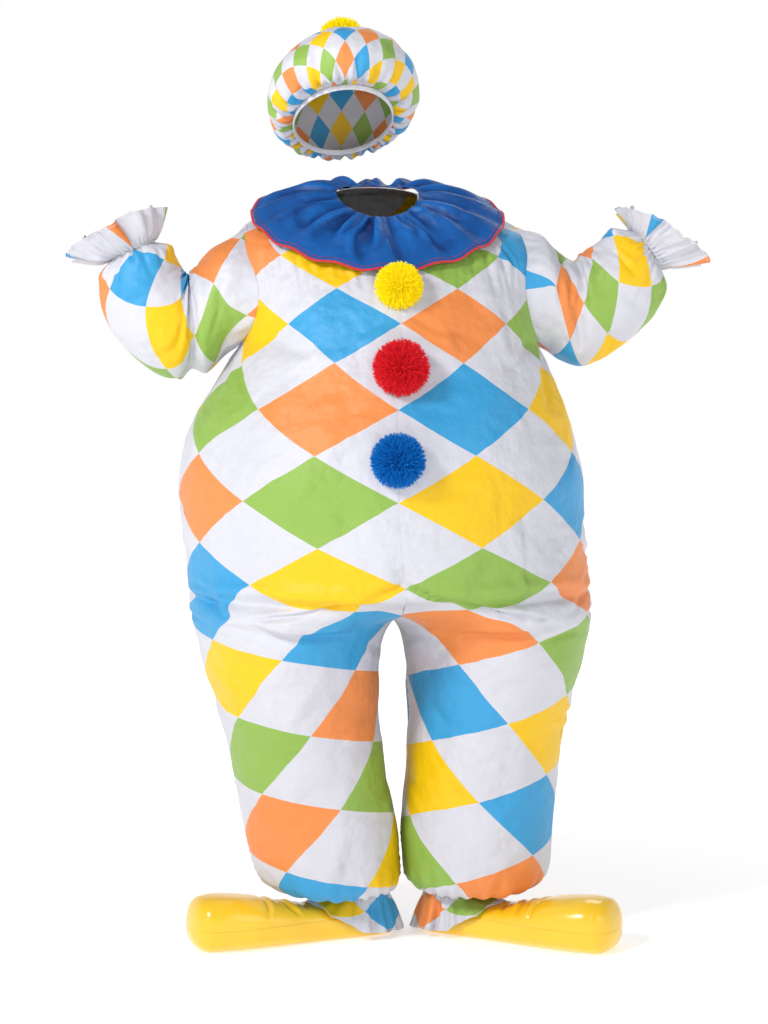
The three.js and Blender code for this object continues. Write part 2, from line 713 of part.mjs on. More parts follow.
function ankleFrill(shoe) {
  const ringAt = (row, turn) => ankleRing(shoe, ANKLE_RINGS[row], turn, ANKLE_WAVES);
  const columns = ANKLE_WAVES * POINTS_A_WAVE;
  return tubeWall(ringAt, ANKLE_RINGS.length, columns, FRILL_CLOTH, -1);
}

/** A closed manifold solid of a geometry. */
function solidOf(geometry) {
  const vertProperties = new Float32Array(geometry.getAttribute('position').array);
  const triVerts = new Uint32Array(geometry.getIndex().array);
  return new wasm.Manifold(new wasm.Mesh({ numProp: 3, vertProperties, triVerts }));
}

function geometryOf(solid) {
  const { vertProperties, triVerts } = solid.getMesh();
  const geometry = new THREE.BufferGeometry();
  geometry.setAttribute('position', new THREE.BufferAttribute(vertProperties, 3));
  geometry.setIndex(new THREE.BufferAttribute(triVerts, 1));
  return geometry;
}

/** The shoe's outer form, drawn in all round by inset and with its floor raised. */
function shoeForm(shoe, inset, floor) {
  const points = [];
  const triangles = [];
  const squared = (value) => Math.sign(value) * Math.abs(value) ** (2 / SHOE.square);
  const sections = SHOE_SECTIONS.length;
  const reach = SHOE_SECTIONS[sections - 1].along;
  SHOE_SECTIONS.forEach(({ along, half, height }) => {
    const middle = SHOE.widest * height;
    const centre = reach / 2;
    const u = centre + (along - centre) * (1 - inset / centre);
    for (let i = 0; i < SHOE.points; i++) {
      const turn = (i / SHOE.points) * 2 * Math.PI;
      const rise = squared(Math.sin(turn));
      const y = (half - inset) * squared(Math.cos(turn));
      const z = middle + rise * (rise > 0 ? height - middle - inset : middle + SHOE.flat);
      points.push(onFoot(shoe, u, y, Math.max(z, floor)));
    }
  });
  for (let s = 0; s < sections - 1; s++) {
    for (let i = 0; i < SHOE.points; i++) {
      const next = (i + 1) % SHOE.points;
      const [a, b] = [s * SHOE.points + i, s * SHOE.points + next];
      triangles.push([a, b, b + SHOE.points], [a, b + SHOE.points, a + SHOE.points]);
    }
  }
  for (const s of [0, sections - 1]) {
    const first = s * SHOE.points;
    for (let i = 1; i < SHOE.points - 1; i++) {
      const fan = [first, first + i, first + i + 1];
      triangles.push(s === 0 ? fan.reverse() : fan);
    }
  }
  return solidOf(closedGeometry(points, triangles));
}

/** A block over the whole shoe between two heights. */
function slab(shoe, from, to) {
  const corners = [0, 1, 2, 3].map((i) => [i & 1 ? 500 : -500, i & 2 ? 500 : -500]);
  const points = [from, to].flatMap((z) => corners.map(([x, y]) => onFoot(shoe, x, y, z)));
  const faces = [
    [0, 1, 3], [0, 3, 2], [4, 7, 5], [4, 6, 7], [0, 5, 1], [0, 4, 5],
    [1, 7, 3], [1, 5, 7], [3, 6, 2], [3, 7, 6], [2, 4, 0], [2, 6, 4],
  ];
  return solidOf(closedGeometry(points, faces));
}

/** The hole for the foot: an upright oval column round the ankle. */
function footHole(shoe) {
  const columns = 20;
  const points = [];
  for (const z of [SHOE.soleHeight + 2, 200]) {
    for (let i = 0; i < columns; i++) {
      const turn = (i / columns) * 2 * Math.PI;
      points.push(
        onFoot(shoe, FOOT_HOLE.along * Math.cos(turn), FOOT_HOLE.half * Math.sin(turn), z),
      );
    }
  }
  const triangles = [];
  for (let i = 0; i < columns; i++) {
    const next = (i + 1) % columns;
    triangles.push([i, next, next + columns], [i, next + columns, i + columns]);
    if (i > 0 && next > 0) {
      triangles.push([0, next, i], [columns, columns + i, columns + next]);
    }
  }
  return solidOf(closedGeometry(points, triangles));
}

for (const shoe of SHOES) {
  add(`ankle_frill_${shoe.name}`, ankleFrill(shoe), 0xf0f0f4, 0.75);
  const shell = shoeForm(shoe, 0, 0).subtract(shoeForm(shoe, VINYL, SHOE.insole));
  const upper = shell
    .intersect(slab(shoe, SHOE.soleHeight, 200))
    .subtract(footHole(shoe));
  const sole = shell.intersect(slab(shoe, -10, SHOE.soleHeight - SEAM_GAP));
  add(`shoe_upper_${shoe.name}`, geometryOf(upper), 0xfad232, 0.25);
  add(`shoe_sole_${shoe.name}`, geometryOf(sole), 0xf0c828, 0.3);
}

costume.position.z = -SHOULDER_HEIGHT;
const part = new THREE.Group();
part.add(costume);

export default part;
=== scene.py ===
# %% [markdown]
# # An inflatable clown costume
#
# The costume is thin printed cloth that a small fan keeps blown up round the wearer: a jumpsuit
# with a gathered collar, three yarn pompoms, frilled wrists and ankles, a puffed cap and a pair
# of overshoes. We rebuild every cloth panel from the same sections as its solid, only with many
# more points, so that creases, gathers and puckers have room to show.

import math
from contextlib import contextmanager

import bmesh
import bpy
import numpy as np
from mathutils import Matrix, Vector


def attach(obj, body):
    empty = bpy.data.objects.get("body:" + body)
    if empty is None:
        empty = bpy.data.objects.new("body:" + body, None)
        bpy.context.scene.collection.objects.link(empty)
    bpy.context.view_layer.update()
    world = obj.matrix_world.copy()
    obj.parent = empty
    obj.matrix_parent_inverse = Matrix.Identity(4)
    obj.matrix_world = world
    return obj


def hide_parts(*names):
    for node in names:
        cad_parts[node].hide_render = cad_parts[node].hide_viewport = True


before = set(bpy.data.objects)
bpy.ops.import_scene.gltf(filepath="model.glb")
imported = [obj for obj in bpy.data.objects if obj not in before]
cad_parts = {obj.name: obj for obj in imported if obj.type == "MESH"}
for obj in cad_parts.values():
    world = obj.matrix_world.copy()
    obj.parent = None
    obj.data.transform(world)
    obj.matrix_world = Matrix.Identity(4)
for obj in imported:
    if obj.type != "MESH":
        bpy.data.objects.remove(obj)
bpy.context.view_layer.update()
print("nodes:", len(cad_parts))

# %% [markdown]
# ## Measures
#
# A tailor measures in millimetres from the floor. The frame is in metres from a point between
# the shoulders, so one function carries points over. Two-sided pieces are made with `side`,
# which is -1 on the wearer's right and 1 on the left. Sleeves, frills, cap and shoes are round,
# and `all_round` gives the turns of their points.

# %% Measures
SHOULDER_HEIGHT = 1400.0
MM = 0.001
RIGHT, LEFT = -1, 1
FRONT, BACK = 1, -1
SIDE_NAMES = {RIGHT: "right", LEFT: "left"}
FULL_TURN = 2 * math.pi
CLOTH_WALL = 1.2
SEAM_GAP = 0.3  # between pieces that are sewn together
PANEL_GAP = 0.06  # between two body panels along a straight seam


def in_frame(points):
    """Millimetres above the soles as metres in the frame."""
    return (np.asarray(points, float) - (0.0, 0.0, SHOULDER_HEIGHT)) * MM


def all_round(count):
    """Evenly spaced turns for a closed ring of points."""
    return np.arange(count) / count * FULL_TURN


# %% [markdown]
# ## Curves through measures
#
# A pattern is a short table of sections. Between two of them the cloth runs smoothly and never
# bulges past either, so we use a monotone cubic: its slope is zero at every high and low point.


# %% Curves through measures
def smooth_curve(xs, ys):
    """A smooth curve through values, or whole rings of points, that never swings past them."""
    xs, ys = np.asarray(xs, float), np.asarray(ys, float)
    steps = np.diff(xs).reshape((-1,) + (1,) * (ys.ndim - 1))
    slopes = np.diff(ys, axis=0) / steps
    before, after = slopes[:-1], slopes[1:]
    first = 2 * steps[1:] + steps[:-1]
    second = steps[1:] + 2 * steps[:-1]
    same_way = before * after > 0
    safe_before, safe_after = np.where(same_way, before, 1), np.where(same_way, after, 1)
    middle = (first + second) / (first / safe_before + second / safe_after)
    tangents = np.concatenate([slopes[:1], np.where(same_way, middle, 0), slopes[-1:]])

    def at(x):
        """The curve's value at x."""
        x = np.asarray(x, float)
        i = np.clip(np.searchsorted(xs, x, side="right") - 1, 0, len(xs) - 2)
        step = steps[i].reshape(x.shape + (1,) * (ys.ndim - 1))
        t = (x - xs[i]).reshape(step.shape) / step
        return (
            ys[i] * (2 * t**3 - 3 * t**2 + 1)
            + step * tangents[i] * (t**3 - 2 * t**2 + t)
            + ys[i + 1] * (3 * t**2 - 2 * t**3)
            + step * tangents[i + 1] * (t**3 - t**2)
        )

    return at


def fade(x, start, end):
    """0 at start, 1 at end, with soft ends."""
    t = np.clip((np.asarray(x, float) - start) / (end - start), 0, 1)
    return t * t * (3 - 2 * t)


# %% [markdown]
# ## Creases
#
# Blown-up cloth is smooth where it is tight and creased where a seam, an elastic or a bend
# gathers it. A simulation would spread its wrinkles evenly; we place the main creases one by one
# instead, each a soft trough with a raised lip beside it, uneven in length, depth and spacing,
# and add a little swelling made of a few sine waves between them.

# %% Swelling between creases
SWELL_WAVES = 7
SWELL_SPREAD = (0.7, 1.6)  # each wave's length as a share of the asked one
SWELL_GAIN = 1.6  # the waves seldom crest together, so their mean is raised


def swelling(across, along, length, seed):
    """Soft uneven swelling, about -1 to 1, with roughly the given wavelength."""
    dice = np.random.default_rng(seed)
    total = np.zeros(np.broadcast(across, along).shape)
    for _ in range(SWELL_WAVES):
        heading = dice.uniform(0, FULL_TURN)
        pace = FULL_TURN / (length * dice.uniform(*SWELL_SPREAD))
        shift = dice.uniform(0, FULL_TURN)
        way = across * math.cos(heading) + along * math.sin(heading)
        total += np.sin(pace * way + shift)
    return total / SWELL_WAVES * SWELL_GAIN


# %% Creases
CREASE_BEND = 0.05  # how far a crease bows to one side, as a share of its length
CREASE_WANDER = 0.3  # how far it snakes, as a share of its width
LIP_HEIGHT, LIP_PLACE, LIP_WIDTH = 0.42, 1.9, 1.1  # shares of the crease's depth and width


def creases(across, along, table):
    """Height of the cloth from creases (x0, y0, x1, y1, width, depth), in millimetres."""
    height = np.zeros(np.broadcast(across, along).shape)
    for number, (x0, y0, x1, y1, width, depth) in enumerate(table):
        run, rise = x1 - x0, y1 - y0
        length = math.hypot(run, rise)
        way = ((across - x0) * run + (along - y0) * rise) / length**2
        off = ((along - y0) * run - (across - x0) * rise) / length
        bend = CREASE_BEND * length * np.sin(math.pi * way) * (-1) ** number
        off = (off - bend - CREASE_WANDER * width * np.sin(way * 9 + number)) / width
        ends = np.clip(4 * way * (1 - way), 0, 1) ** 0.7
        lip = LIP_HEIGHT * np.exp(-(((off - LIP_PLACE) / LIP_WIDTH) ** 2))
        height += depth * ends * (lip - np.exp(-(off**2)))
    return height


def creases_round(turn, along, table, turn_pace, row_pace):
    """Creases of a closed tube: places are degrees round it and rows along it.

    The paces are the millimetres of one degree and of one row.
    """
    degrees = (np.degrees(turn) + 180) % 360 - 180
    table = [(t0 * turn_pace, r0 * row_pace, t1 * turn_pace, r1 * row_pace, width, depth)
             for t0, r0, t1, r1, width, depth in table]
    return sum(creases((degrees + lap) * turn_pace, along * row_pace, table)
               for lap in (-360, 0, 360))


# %% [markdown]
# ## From a grid of points to a piece of cloth
#
# Every panel is a grid: rows up the body, columns across it. The grid becomes a mesh whose UV
# map holds the place in the printed pattern, and a Solidify modifier gives it the thickness of
# cloth. Faces must look outwards, so we compare their normals with a point inside the piece.


# %% Placing and editing
def placed(name, data):
    """A new object with this mesh, lamp or camera, in the scene."""
    thing = bpy.data.objects.new(name, data)
    bpy.context.scene.collection.objects.link(thing)
    return thing


@contextmanager
def edited(piece):
    """Opens a piece's mesh for editing and writes it back."""
    work = bmesh.new()
    work.from_mesh(piece.data)
    yield work
    work.to_mesh(piece.data)
    work.free()


# %% Grids
def closed_round(grid):
    """The grid with its first column again at the end."""
    return np.concatenate([grid, grid[:, :1]], axis=1)


def grid_normals(points, inside, around=False):
    """Outward normals of a grid of points."""
    if around:
        wide = np.concatenate([points[:, -1:], points, points[:, :1]], axis=1)
        across = np.gradient(wide, axis=1)[:, 1:-1]
    else:
        across = np.gradient(points, axis=1)
    normals = np.cross(across, np.gradient(points, axis=0))
    normals /= np.maximum(np.linalg.norm(normals, axis=-1, keepdims=True), 1e-9)
    outward = np.sum(normals * (points - inside))
    return normals if outward > 0 else -normals


def grid_mesh(name, points, inside, around=False, print_at=None, repaint=None):
    """A smooth mesh object from a grid in millimetres.

    print_at holds each point's place in the print, and repaint may move whole faces in it.
    """
    rows, columns = points.shape[:2]
    index = np.arange(rows * columns).reshape(rows, columns)
    if around:
        index = closed_round(index)
    corners = [index[:-1, :-1], index[:-1, 1:], index[1:, 1:], index[1:, :-1]]
    faces = np.stack(corners, axis=-1).reshape(-1, 4)
    flat = points.reshape(-1, 3)
    diagonal = flat[faces[:, 2]] - flat[faces[:, 0]]
    facing = np.cross(diagonal, flat[faces[:, 3]] - flat[faces[:, 1]])
    middles = flat[faces].mean(axis=1)
    inner = np.broadcast_to(inside, points.shape).reshape(-1, 3)[faces].mean(axis=1)
    order = [0, 1, 2, 3] if np.sum(facing * (middles - inner)) > 0 else [3, 2, 1, 0]
    mesh = bpy.data.meshes.new(name)
    mesh.from_pydata(in_frame(flat).tolist(), [], faces[:, order].tolist())
    if print_at is not None:
        patches = [
            print_at[:-1, :-1], print_at[:-1, 1:], print_at[1:, 1:], print_at[1:, :-1],
        ]
        uv = np.stack([patches[k] for k in order], axis=2).reshape(-1, 4, 2)
        if repaint:
            uv = repaint(uv)
        mesh.uv_layers.new(name="print").data.foreach_set("uv", uv.ravel())
    mesh.polygons.foreach_set("use_smooth", [True] * len(mesh.polygons))
    return placed(name, mesh)


# %% Finishing a piece
def sharpen_edges(piece):
    """Keeps the shading of a cut edge from running into the cloth beside it."""
    with edited(piece) as work:
        for edge in work.edges:
            if edge.is_boundary:
                edge.smooth = False


def finish_piece(piece, material, replaced=(), wall=0.0):
    """Gives a piece its finish and its wall, and lets it ride on the costume."""
    piece.data.materials.clear()
    piece.data.materials.append(material)
    if wall:
        sharpen_edges(piece)
        solid = piece.modifiers.new("wall", "SOLIDIFY")
        solid.thickness = wall * MM
        solid.offset = -1
    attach(piece, "root")
    if replaced:
        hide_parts(*replaced)
    return piece


def cloth_area(points):
    """Area of a grid of cloth in square metres."""
    across = points[:-1, 1:] - points[:-1, :-1]
    along = points[1:, :-1] - points[:-1, :-1]
    return float(np.linalg.norm(np.cross(across, along), axis=-1).sum()) * MM * MM


def merge_doubles(piece, distance=1e-6):
    """Joins points that lie on each other, as at the pole of a cap."""
    with edited(piece) as work:
        bmesh.ops.remove_doubles(work, verts=work.verts, dist=distance)
        bmesh.ops.dissolve_degenerate(work, edges=work.edges, dist=distance)


# %% [markdown]
# ## Mixing materials from nodes
#
# A procedural material is arithmetic on a place: a few Math nodes decide which patch of the
# print a point lies in. `calc` adds one such node and links or sets its inputs, so that a
# formula can be written almost as on paper.


# %% Node helpers
def calc(tree, operation, *inputs):
    """Adds a Math node with these inputs and returns its result."""
    node = tree.nodes.new("ShaderNodeMath")
    node.operation = operation
    for socket, value in zip(node.inputs, inputs):
        if isinstance(value, bpy.types.NodeSocket):
            tree.links.new(value, socket)
        else:
            socket.default_value = value
    return node.outputs[0]


def noise(tree, scale, detail=2.0, roughness=0.5):
    """A noise value that is fixed to the object's own coordinates, in metres."""
    place = tree.nodes.new("ShaderNodeTexCoord")
    node = tree.nodes.new("ShaderNodeTexNoise")
    node.inputs["Scale"].default_value = scale
    node.inputs["Detail"].default_value = detail
    node.inputs["Roughness"].default_value = roughness
    tree.links.new(place.outputs["Object"], node.inputs["Vector"])
    return node.outputs["Fac"]


def bump(tree, height, strength, distance, under=None):
    """A Bump node over an earlier one; distance is in metres."""
    node = tree.nodes.new("ShaderNodeBump")
    node.inputs["Strength"].default_value = strength
    node.inputs["Distance"].default_value = distance
    tree.links.new(height, node.inputs["Height"])
    if under:
        tree.links.new(under, node.inputs["Normal"])
    return node.outputs["Normal"]


def mix_colours(tree, share, first, second, blend="MIX"):
    """Mixes two colours, each a socket or a tuple."""
    node = tree.nodes.new("ShaderNodeMix")
    node.data_type = "RGBA"
    node.blend_type = blend
    for socket, value in zip((node.inputs[0], node.inputs[6], node.inputs[7]),
                             (share, first, second)):
        if isinstance(value, bpy.types.NodeSocket):
            tree.links.new(value, socket)
        else:
            socket.default_value = value
    return node.outputs[2]


def linear(hex_colour):
    """A colour as on a screen, such as 0xFFDC0A, in the linear values a shader takes."""
    parts = [(hex_colour >> shift & 255) / 255 for shift in (16, 8, 0)]
    return (*[((p + 0.055) / 1.055) ** 2.4 if p > 0.04045 else p / 12.92 for p in parts], 1.0)


def new_material(name, roughness, **sockets):
    """A material with a Principled shader and its uniform values set."""
    material = bpy.data.materials.new(name)
    material.use_nodes = True
    shader = material.node_tree.nodes["Principled BSDF"]
    shader.inputs["Roughness"].default_value = roughness
    for socket, value in sockets.items():
        shader.inputs[socket.replace("_", " ")].default_value = value
    return material, material.node_tree, shader


# %% [markdown]
# ## The printed cloth
#
# The print is a harlequin: a grid of cells, each with one diamond that touches all four sides,
# white between them. U counts the columns round the body and V the rows down it. With `fu` and
# `fv` the place inside a cell, the diamond is `|fu - 0.5| + |fv - 0.5| < 0.5`. The four colours
# follow each other up one column and down the next, so one sum of the column and the row gives
# the colour's number, and a stepped Color Ramp turns it into ink.

# %% Printed cloth
INKS = {
    "light blue": 0x3498CC,
    "orange": 0xE68846,
    "green": 0x8AAE4C,
    "yellow": 0xEDBE00,
}
CLOTH_WHITE = 0xCBCBD3
INK_STEPS = len(INKS)
FIRST_INK = 3.5  # which colour the sum's zero stands for, in the middle of its step
INK_WAVER, WAVER_SCALE = 0.022, 22.0  # how far printed edges stray, as a share of a cell


def pattern_colour(tree):
    """The print's colour from the UV map called print."""
    uv = tree.nodes.new("ShaderNodeUVMap")
    uv.uv_map = "print"
    split = tree.nodes.new("ShaderNodeSeparateXYZ")
    tree.links.new(uv.outputs["UV"], split.inputs[0])
    stray = calc(tree, "SUBTRACT", noise(tree, WAVER_SCALE), 0.5)
    waver = calc(tree, "MULTIPLY", stray, INK_WAVER)
    u = calc(tree, "ADD", split.outputs[0], waver)
    v = calc(tree, "ADD", split.outputs[1], waver)
    column, row = calc(tree, "FLOOR", u), calc(tree, "FLOOR", v)
    off_u = calc(tree, "ABSOLUTE", calc(tree, "SUBTRACT", calc(tree, "FRACT", u), 0.5))
    off_v = calc(tree, "ABSOLUTE", calc(tree, "SUBTRACT", calc(tree, "FRACT", v), 0.5))
    in_diamond = calc(tree, "LESS_THAN", calc(tree, "ADD", off_u, off_v), 0.5)

    odd = calc(tree, "FLOORED_MODULO", column, 2.0)
    way = calc(tree, "SUBTRACT", calc(tree, "MULTIPLY", odd, 2.0), 1.0)
    number = calc(tree, "ADD", column, calc(tree, "MULTIPLY", way, row))
    number = calc(tree, "ADD", number, FIRST_INK)
    number = calc(tree, "FLOORED_MODULO", number, float(INK_STEPS))
    ramp = tree.nodes.new("ShaderNodeValToRGB")
    ramp.color_ramp.interpolation = "CONSTANT"
    stops = ramp.color_ramp.elements
    while len(stops) < INK_STEPS:
        stops.new(1.0)
    for k, ink in enumerate(INKS.values()):
        stops[k].position = k / INK_STEPS
        stops[k].color = linear(ink)
    tree.links.new(calc(tree, "DIVIDE", number, float(INK_STEPS)), ramp.inputs[0])
    return mix_colours(tree, in_diamond, linear(CLOTH_WHITE), ramp.outputs[0])


# %% Relief of the cloth's material
WEAVE, WEAVE_HEIGHT = 1100.0, 0.0003
CRINKLE_HEIGHT = 0.0032
RIDGE_STRETCH, RIDGE_LEAN = (1.3, 1.3, 0.6), (0.25, 0.35, 0.0)  # ridges run down the body


def cloth_bump(tree, crinkle=42.0):
    """Fine weave over crinkles, long ridges and broad waves, from the top layer down."""
    broad = bump(tree, noise(tree, 8.0, 3.0, 0.5), 0.8, 0.03)
    place = tree.nodes.new("ShaderNodeTexCoord")
    ridges = tree.nodes.new("ShaderNodeTexNoise")
    ridges.noise_type = "RIDGED_MULTIFRACTAL"
    ridges.inputs["Scale"].default_value = 7.0
    ridges.inputs["Detail"].default_value = 4.0
    ridges.inputs["Distortion"].default_value = 0.7
    stretch = tree.nodes.new("ShaderNodeMapping")
    stretch.inputs["Scale"].default_value = RIDGE_STRETCH
    stretch.inputs["Rotation"].default_value = RIDGE_LEAN
    tree.links.new(place.outputs["Object"], stretch.inputs["Vector"])
    tree.links.new(stretch.outputs["Vector"], ridges.inputs["Vector"])
    uneven = calc(tree, "MULTIPLY", ridges.outputs[0], noise(tree, 3.5, 2.0))
    sharp = bump(tree, uneven, 1.0, 0.018, broad)
    crinkles = bump(tree, noise(tree, crinkle, 5.0, 0.62), 0.8, CRINKLE_HEIGHT, sharp)
    return bump(tree, noise(tree, WEAVE, 1.0), 0.12, WEAVE_HEIGHT, crinkles)


# %% Printed cloth's material
def printed_cloth_material():
    """The print, a little faded here and there, over crinkled cloth."""
    material, tree, shader = new_material(
        "printed_cloth", 0.5, Specular_IOR_Level=0.4)
    faded = calc(tree, "ADD", calc(tree, "MULTIPLY", noise(tree, 6.0, 3.0), 0.12), 0.93)
    shade = tree.nodes.new("ShaderNodeCombineColor")
    for socket in shade.inputs:
        tree.links.new(faded, socket)
    colour = mix_colours(tree, 1.0, pattern_colour(tree), shade.outputs[0], "MULTIPLY")
    tree.links.new(colour, shader.inputs["Base Color"])
    tree.links.new(cloth_bump(tree), shader.inputs["Normal"])
    return material


printed_cloth = printed_cloth_material()


# %% [markdown]
# ## Plain cloths
#
# The collar is one deep blue, its binding red and the elastic white. Plain cloth still has the
# weave and crinkles, and its colour drifts a little, darker where the dye took better. Light
# hardly reaches the bottom of the collar's folds, so its mesh carries an attribute that holds
# painted shade, and the material turns a deeper blue where that is high.


# %% Plain cloths
def plain_cloth(name, colour, darker, roughness=0.6, crinkle=60.0, sheen=0.15):
    """Cloth or thread of one colour that drifts to a darker one."""
    material, tree, shader = new_material(
        name, roughness, Sheen_Weight=sheen, Specular_IOR_Level=0.3)
    share = noise(tree, 14.0, 4.0)
    tree.links.new(
        mix_colours(tree, share, linear(colour), linear(darker)), shader.inputs["Base Color"])
    tree.links.new(cloth_bump(tree, crinkle=crinkle), shader.inputs["Normal"])
    return material


# the last blue is painted shade, laid into the bottom of the collar's folds
COLLAR_BLUES, FOLD_SHADE_BLUE = (0x0A68B8, 0x0458A6), 0x002A6A


def collar_material():
    """The collar's blue, with painted shade that deepens it down in its folds."""
    material, tree, shader = new_material("collar_cloth", 0.5, Specular_IOR_Level=0.35)
    painted_fold_shade = tree.nodes.new("ShaderNodeAttribute")
    painted_fold_shade.attribute_name = "painted_fold_shade"
    drift = mix_colours(tree, noise(tree, 14.0, 4.0), *map(linear, COLLAR_BLUES))
    tree.links.new(
        mix_colours(tree, painted_fold_shade.outputs["Fac"], drift, linear(FOLD_SHADE_BLUE)),
        shader.inputs["Base Color"])
    tree.links.new(cloth_bump(tree), shader.inputs["Normal"])
    return material


collar_cloth = collar_material()
binding_cloth = plain_cloth("binding_cloth", 0xD4323C, 0xB8222E, crinkle=160.0)
white_elastic = plain_cloth("white_elastic", 0xE0E0E6, 0xC9C9D2, 0.75, 220.0)
white_thread = plain_cloth("white_thread", 0xE8E8EC, 0xD0D0D8, 0.7, 500.0)
red_thread = plain_cloth("red_thread", 0xC82430, 0xA01A24, 0.7, 500.0)
print("materials:", len(bpy.data.materials))

# %% [markdown]
# ## The body's form
#
# The jumpsuit's trunk and legs are cut as four long panels: front and back, right and left. The
# table gives the blown-up form from the neck to the ankle elastic. Each section is an ellipse on
# either side of the middle seam. Below the crotch the two ellipses part and become legs.

# %% Body sections
BODY_COLUMNS = ("level", "lean", "offset", "half", "front", "back", "drop", "rise", "lift")
BODY_SECTIONS = [
    (1424, -16, 0, 80, 76, 78, 50, 20, 0),  # neck edge
    (1410, -14, 0, 114, 88, 100, 46, 32, 0),
    (1394, -12, 0, 164, 104, 124, 42, 44, 0),
    (1375, -8, 0, 228, 126, 152, 40, 56, 0),  # shoulder
    (1350, -3, 0, 272, 148, 184, 34, 56, 0),
    (1302, 3, 0, 292, 180, 222, 20, 36, 0),
    (1225, 8, 0, 288, 226, 252, 6, 10, 0),  # armhole
    (1148, 10, 0, 284, 262, 274, 0, 0, 0),
    (1110, 6, 0, 302, 279, 284, 0, 0, 0),
    (1060, 2, 0, 328, 300, 296, 0, 0, 0),
    (1006, -3, 0, 357, 322, 308, 0, 0, 0),
    (950, -7, 0, 375, 340, 316, 0, 0, 0),
    (872, -5, 0, 388, 354, 322, 0, 0, 0),  # belly
    (795, -1, 0, 386, 356, 322, 0, 0, 0),
    (716, 7, 0, 386, 350, 318, 0, 0, 0),
    (692, 9, 40, 346, 342, 315, 0, 0, 0),
    (668, 11, 90, 296, 328, 308, 0, 0, 0),
    (645, 12, 145, 240, 308, 298, 0, 0, 0),
    (628, 13, 181, 203, 293, 290, 0, 0, 0),
    (614, 14, 192, 191, 280, 281, 0, 0, 0),  # crotch
    (580, 15, 197, 178, 263, 267, 0, 0, 0),
    (530, 16, 196, 169, 245, 249, 0, 0, 0),
    (484, 17, 188, 161, 228, 232, 0, 0, 0),
    (436, 18, 184, 155, 211, 214, 0, 0, 0),
    (382, 20, 175, 150, 193, 195, 0, 0, 0),  # knee
    (305, 23, 166, 147, 171, 172, 0, 0, 0),
    (255, 26, 158, 148, 161, 163, 0, 0, 0),
    (204, 29, 151, 148, 154, 156, 0, 0, 0),
    (150, 33, 147, 144, 147, 149, 4, 0, 0),
    (118, 36, 142, 137, 138, 140, 9, 0, 0),
    (100, 39, 134, 118, 119, 121, 11, 0, 0),
    (91, 42, 122, 94, 94, 95, 6, 0, 1),
    (84, 44, 108, 72, 72, 72, 2, 0, 6),
    (78, 44, 90, 50, 50, 50, 0, 0, 15),  # ankle elastic
]
NECK_LEVEL, ANKLE_LEVEL = BODY_SECTIONS[0][0], BODY_SECTIONS[-1][0]
ARMHOLE = {"level": 1251, "height": 112, "angle": math.radians(30)}

body_rows = np.array(BODY_SECTIONS[::-1], float)
body_curves = {
    column: smooth_curve(body_rows[:, 0], body_rows[:, number])
    for number, column in enumerate(BODY_COLUMNS)
    if number
}


def body_point(side, angle, level):
    """A point of the body: angle 0 is the side seam, positive towards the front."""
    angle, level = np.broadcast_arrays(np.asarray(angle, float), np.asarray(level, float))
    at = {column: curve(level) for column, curve in body_curves.items()}
    depth = np.where(angle >= 0, at["front"], at["back"])
    tip = np.where(angle >= 0, at["drop"], at["rise"])
    return np.stack(
        [
            at["lean"] + side * (at["offset"] + at["half"] * np.cos(angle)),
            -depth * np.sin(angle),
            level + at["lift"] - tip * np.sin(angle),
        ],
        axis=-1,
    )


def armhole_angle(level):
    """Half the armhole's angle at one height, 0 above and below it."""
    off = (level - ARMHOLE["level"]) / ARMHOLE["height"]
    return ARMHOLE["angle"] * np.sqrt(np.maximum(0, 1 - off * off))


def inside_angle(level, depth):
    """Where a panel ends: at the middle seam, or at the inside of the leg."""
    edge = body_curves["offset"](level) - PANEL_GAP / 2
    at_seam = np.arccos(np.clip(-edge / body_curves["half"](level), -1, 1))
    return np.minimum(at_seam, math.pi - PANEL_GAP / 2 / depth)


print("body from", ANKLE_LEVEL, "to", NECK_LEVEL, "mm above the soles")

# %% [markdown]
# ## Laying the print on the body
#
# On the real roll the print is a straight grid. Blown up, its eight columns spread round the
# trunk, 45 degrees each with one edge on the middle seam, and its rows sink to the heights
# below. Each leg takes three to four columns, and there the rows slope down to the outside.
# The two systems meet in the crease under the belly, as they do where the panels are joined.

# %% Print on the body
ROW_LEVELS = ((1395, -1), (1249, 0), (1103, 1), (937, 2), (772, 3), (630, 4), (480, 5))
COLUMN_ANGLE = 45.0
LEG_PRINT = {  # per side: height of row 4.5, row height, slope per column, angle of column 1
    RIGHT: {"level": 564, "row": 147, "slope": 0.63, "angle": 81, "reach": 92},
    LEFT: {"level": 590, "row": 154, "slope": 0.45, "angle": 73, "reach": 88},
}
LEG_TWIST = 0.085  # degrees that the columns turn inwards for each mm down the leg
LEG_WIDEN = 0.07  # degrees that a column widens for each mm down
SEAM_BAND = (668, 630)  # the trunk's print changes to the leg's between these heights


def body_print(side, angle, level):
    """The place (U, V) in the print of a point of the body."""
    angle, level = np.broadcast_arrays(np.asarray(angle, float), np.asarray(level, float))
    offset, half = body_curves["offset"](level), body_curves["half"](level)
    share = np.clip((offset + half * np.cos(angle)) / (offset + half), -1, 1)
    turn = np.degrees(np.arccos(share)) * np.sign(angle)
    heights = np.array([h for h, _ in ROW_LEVELS][::-1], float)
    rows = np.array([row for _, row in ROW_LEVELS][::-1], float)
    row = np.interp(level, heights, rows)
    column = turn / COLUMN_ANGLE

    leg = LEG_PRINT[side]
    down = leg["level"] - level
    first = leg["angle"] + LEG_TWIST * down
    width = leg["reach"] + LEG_WIDEN * down
    leg_column = 1 + (np.degrees(angle) - first) / width
    leg_row = 4.5 + down / leg["row"] + leg["slope"] * (np.maximum(leg_column, -1) - 1)

    trunk = fade(level, SEAM_BAND[1], SEAM_BAND[0])
    column = trunk * column + (1 - trunk) * leg_column
    row = trunk * row + (1 - trunk) * leg_row
    return np.stack([column if side == RIGHT else 4 - column, row], axis=-1)


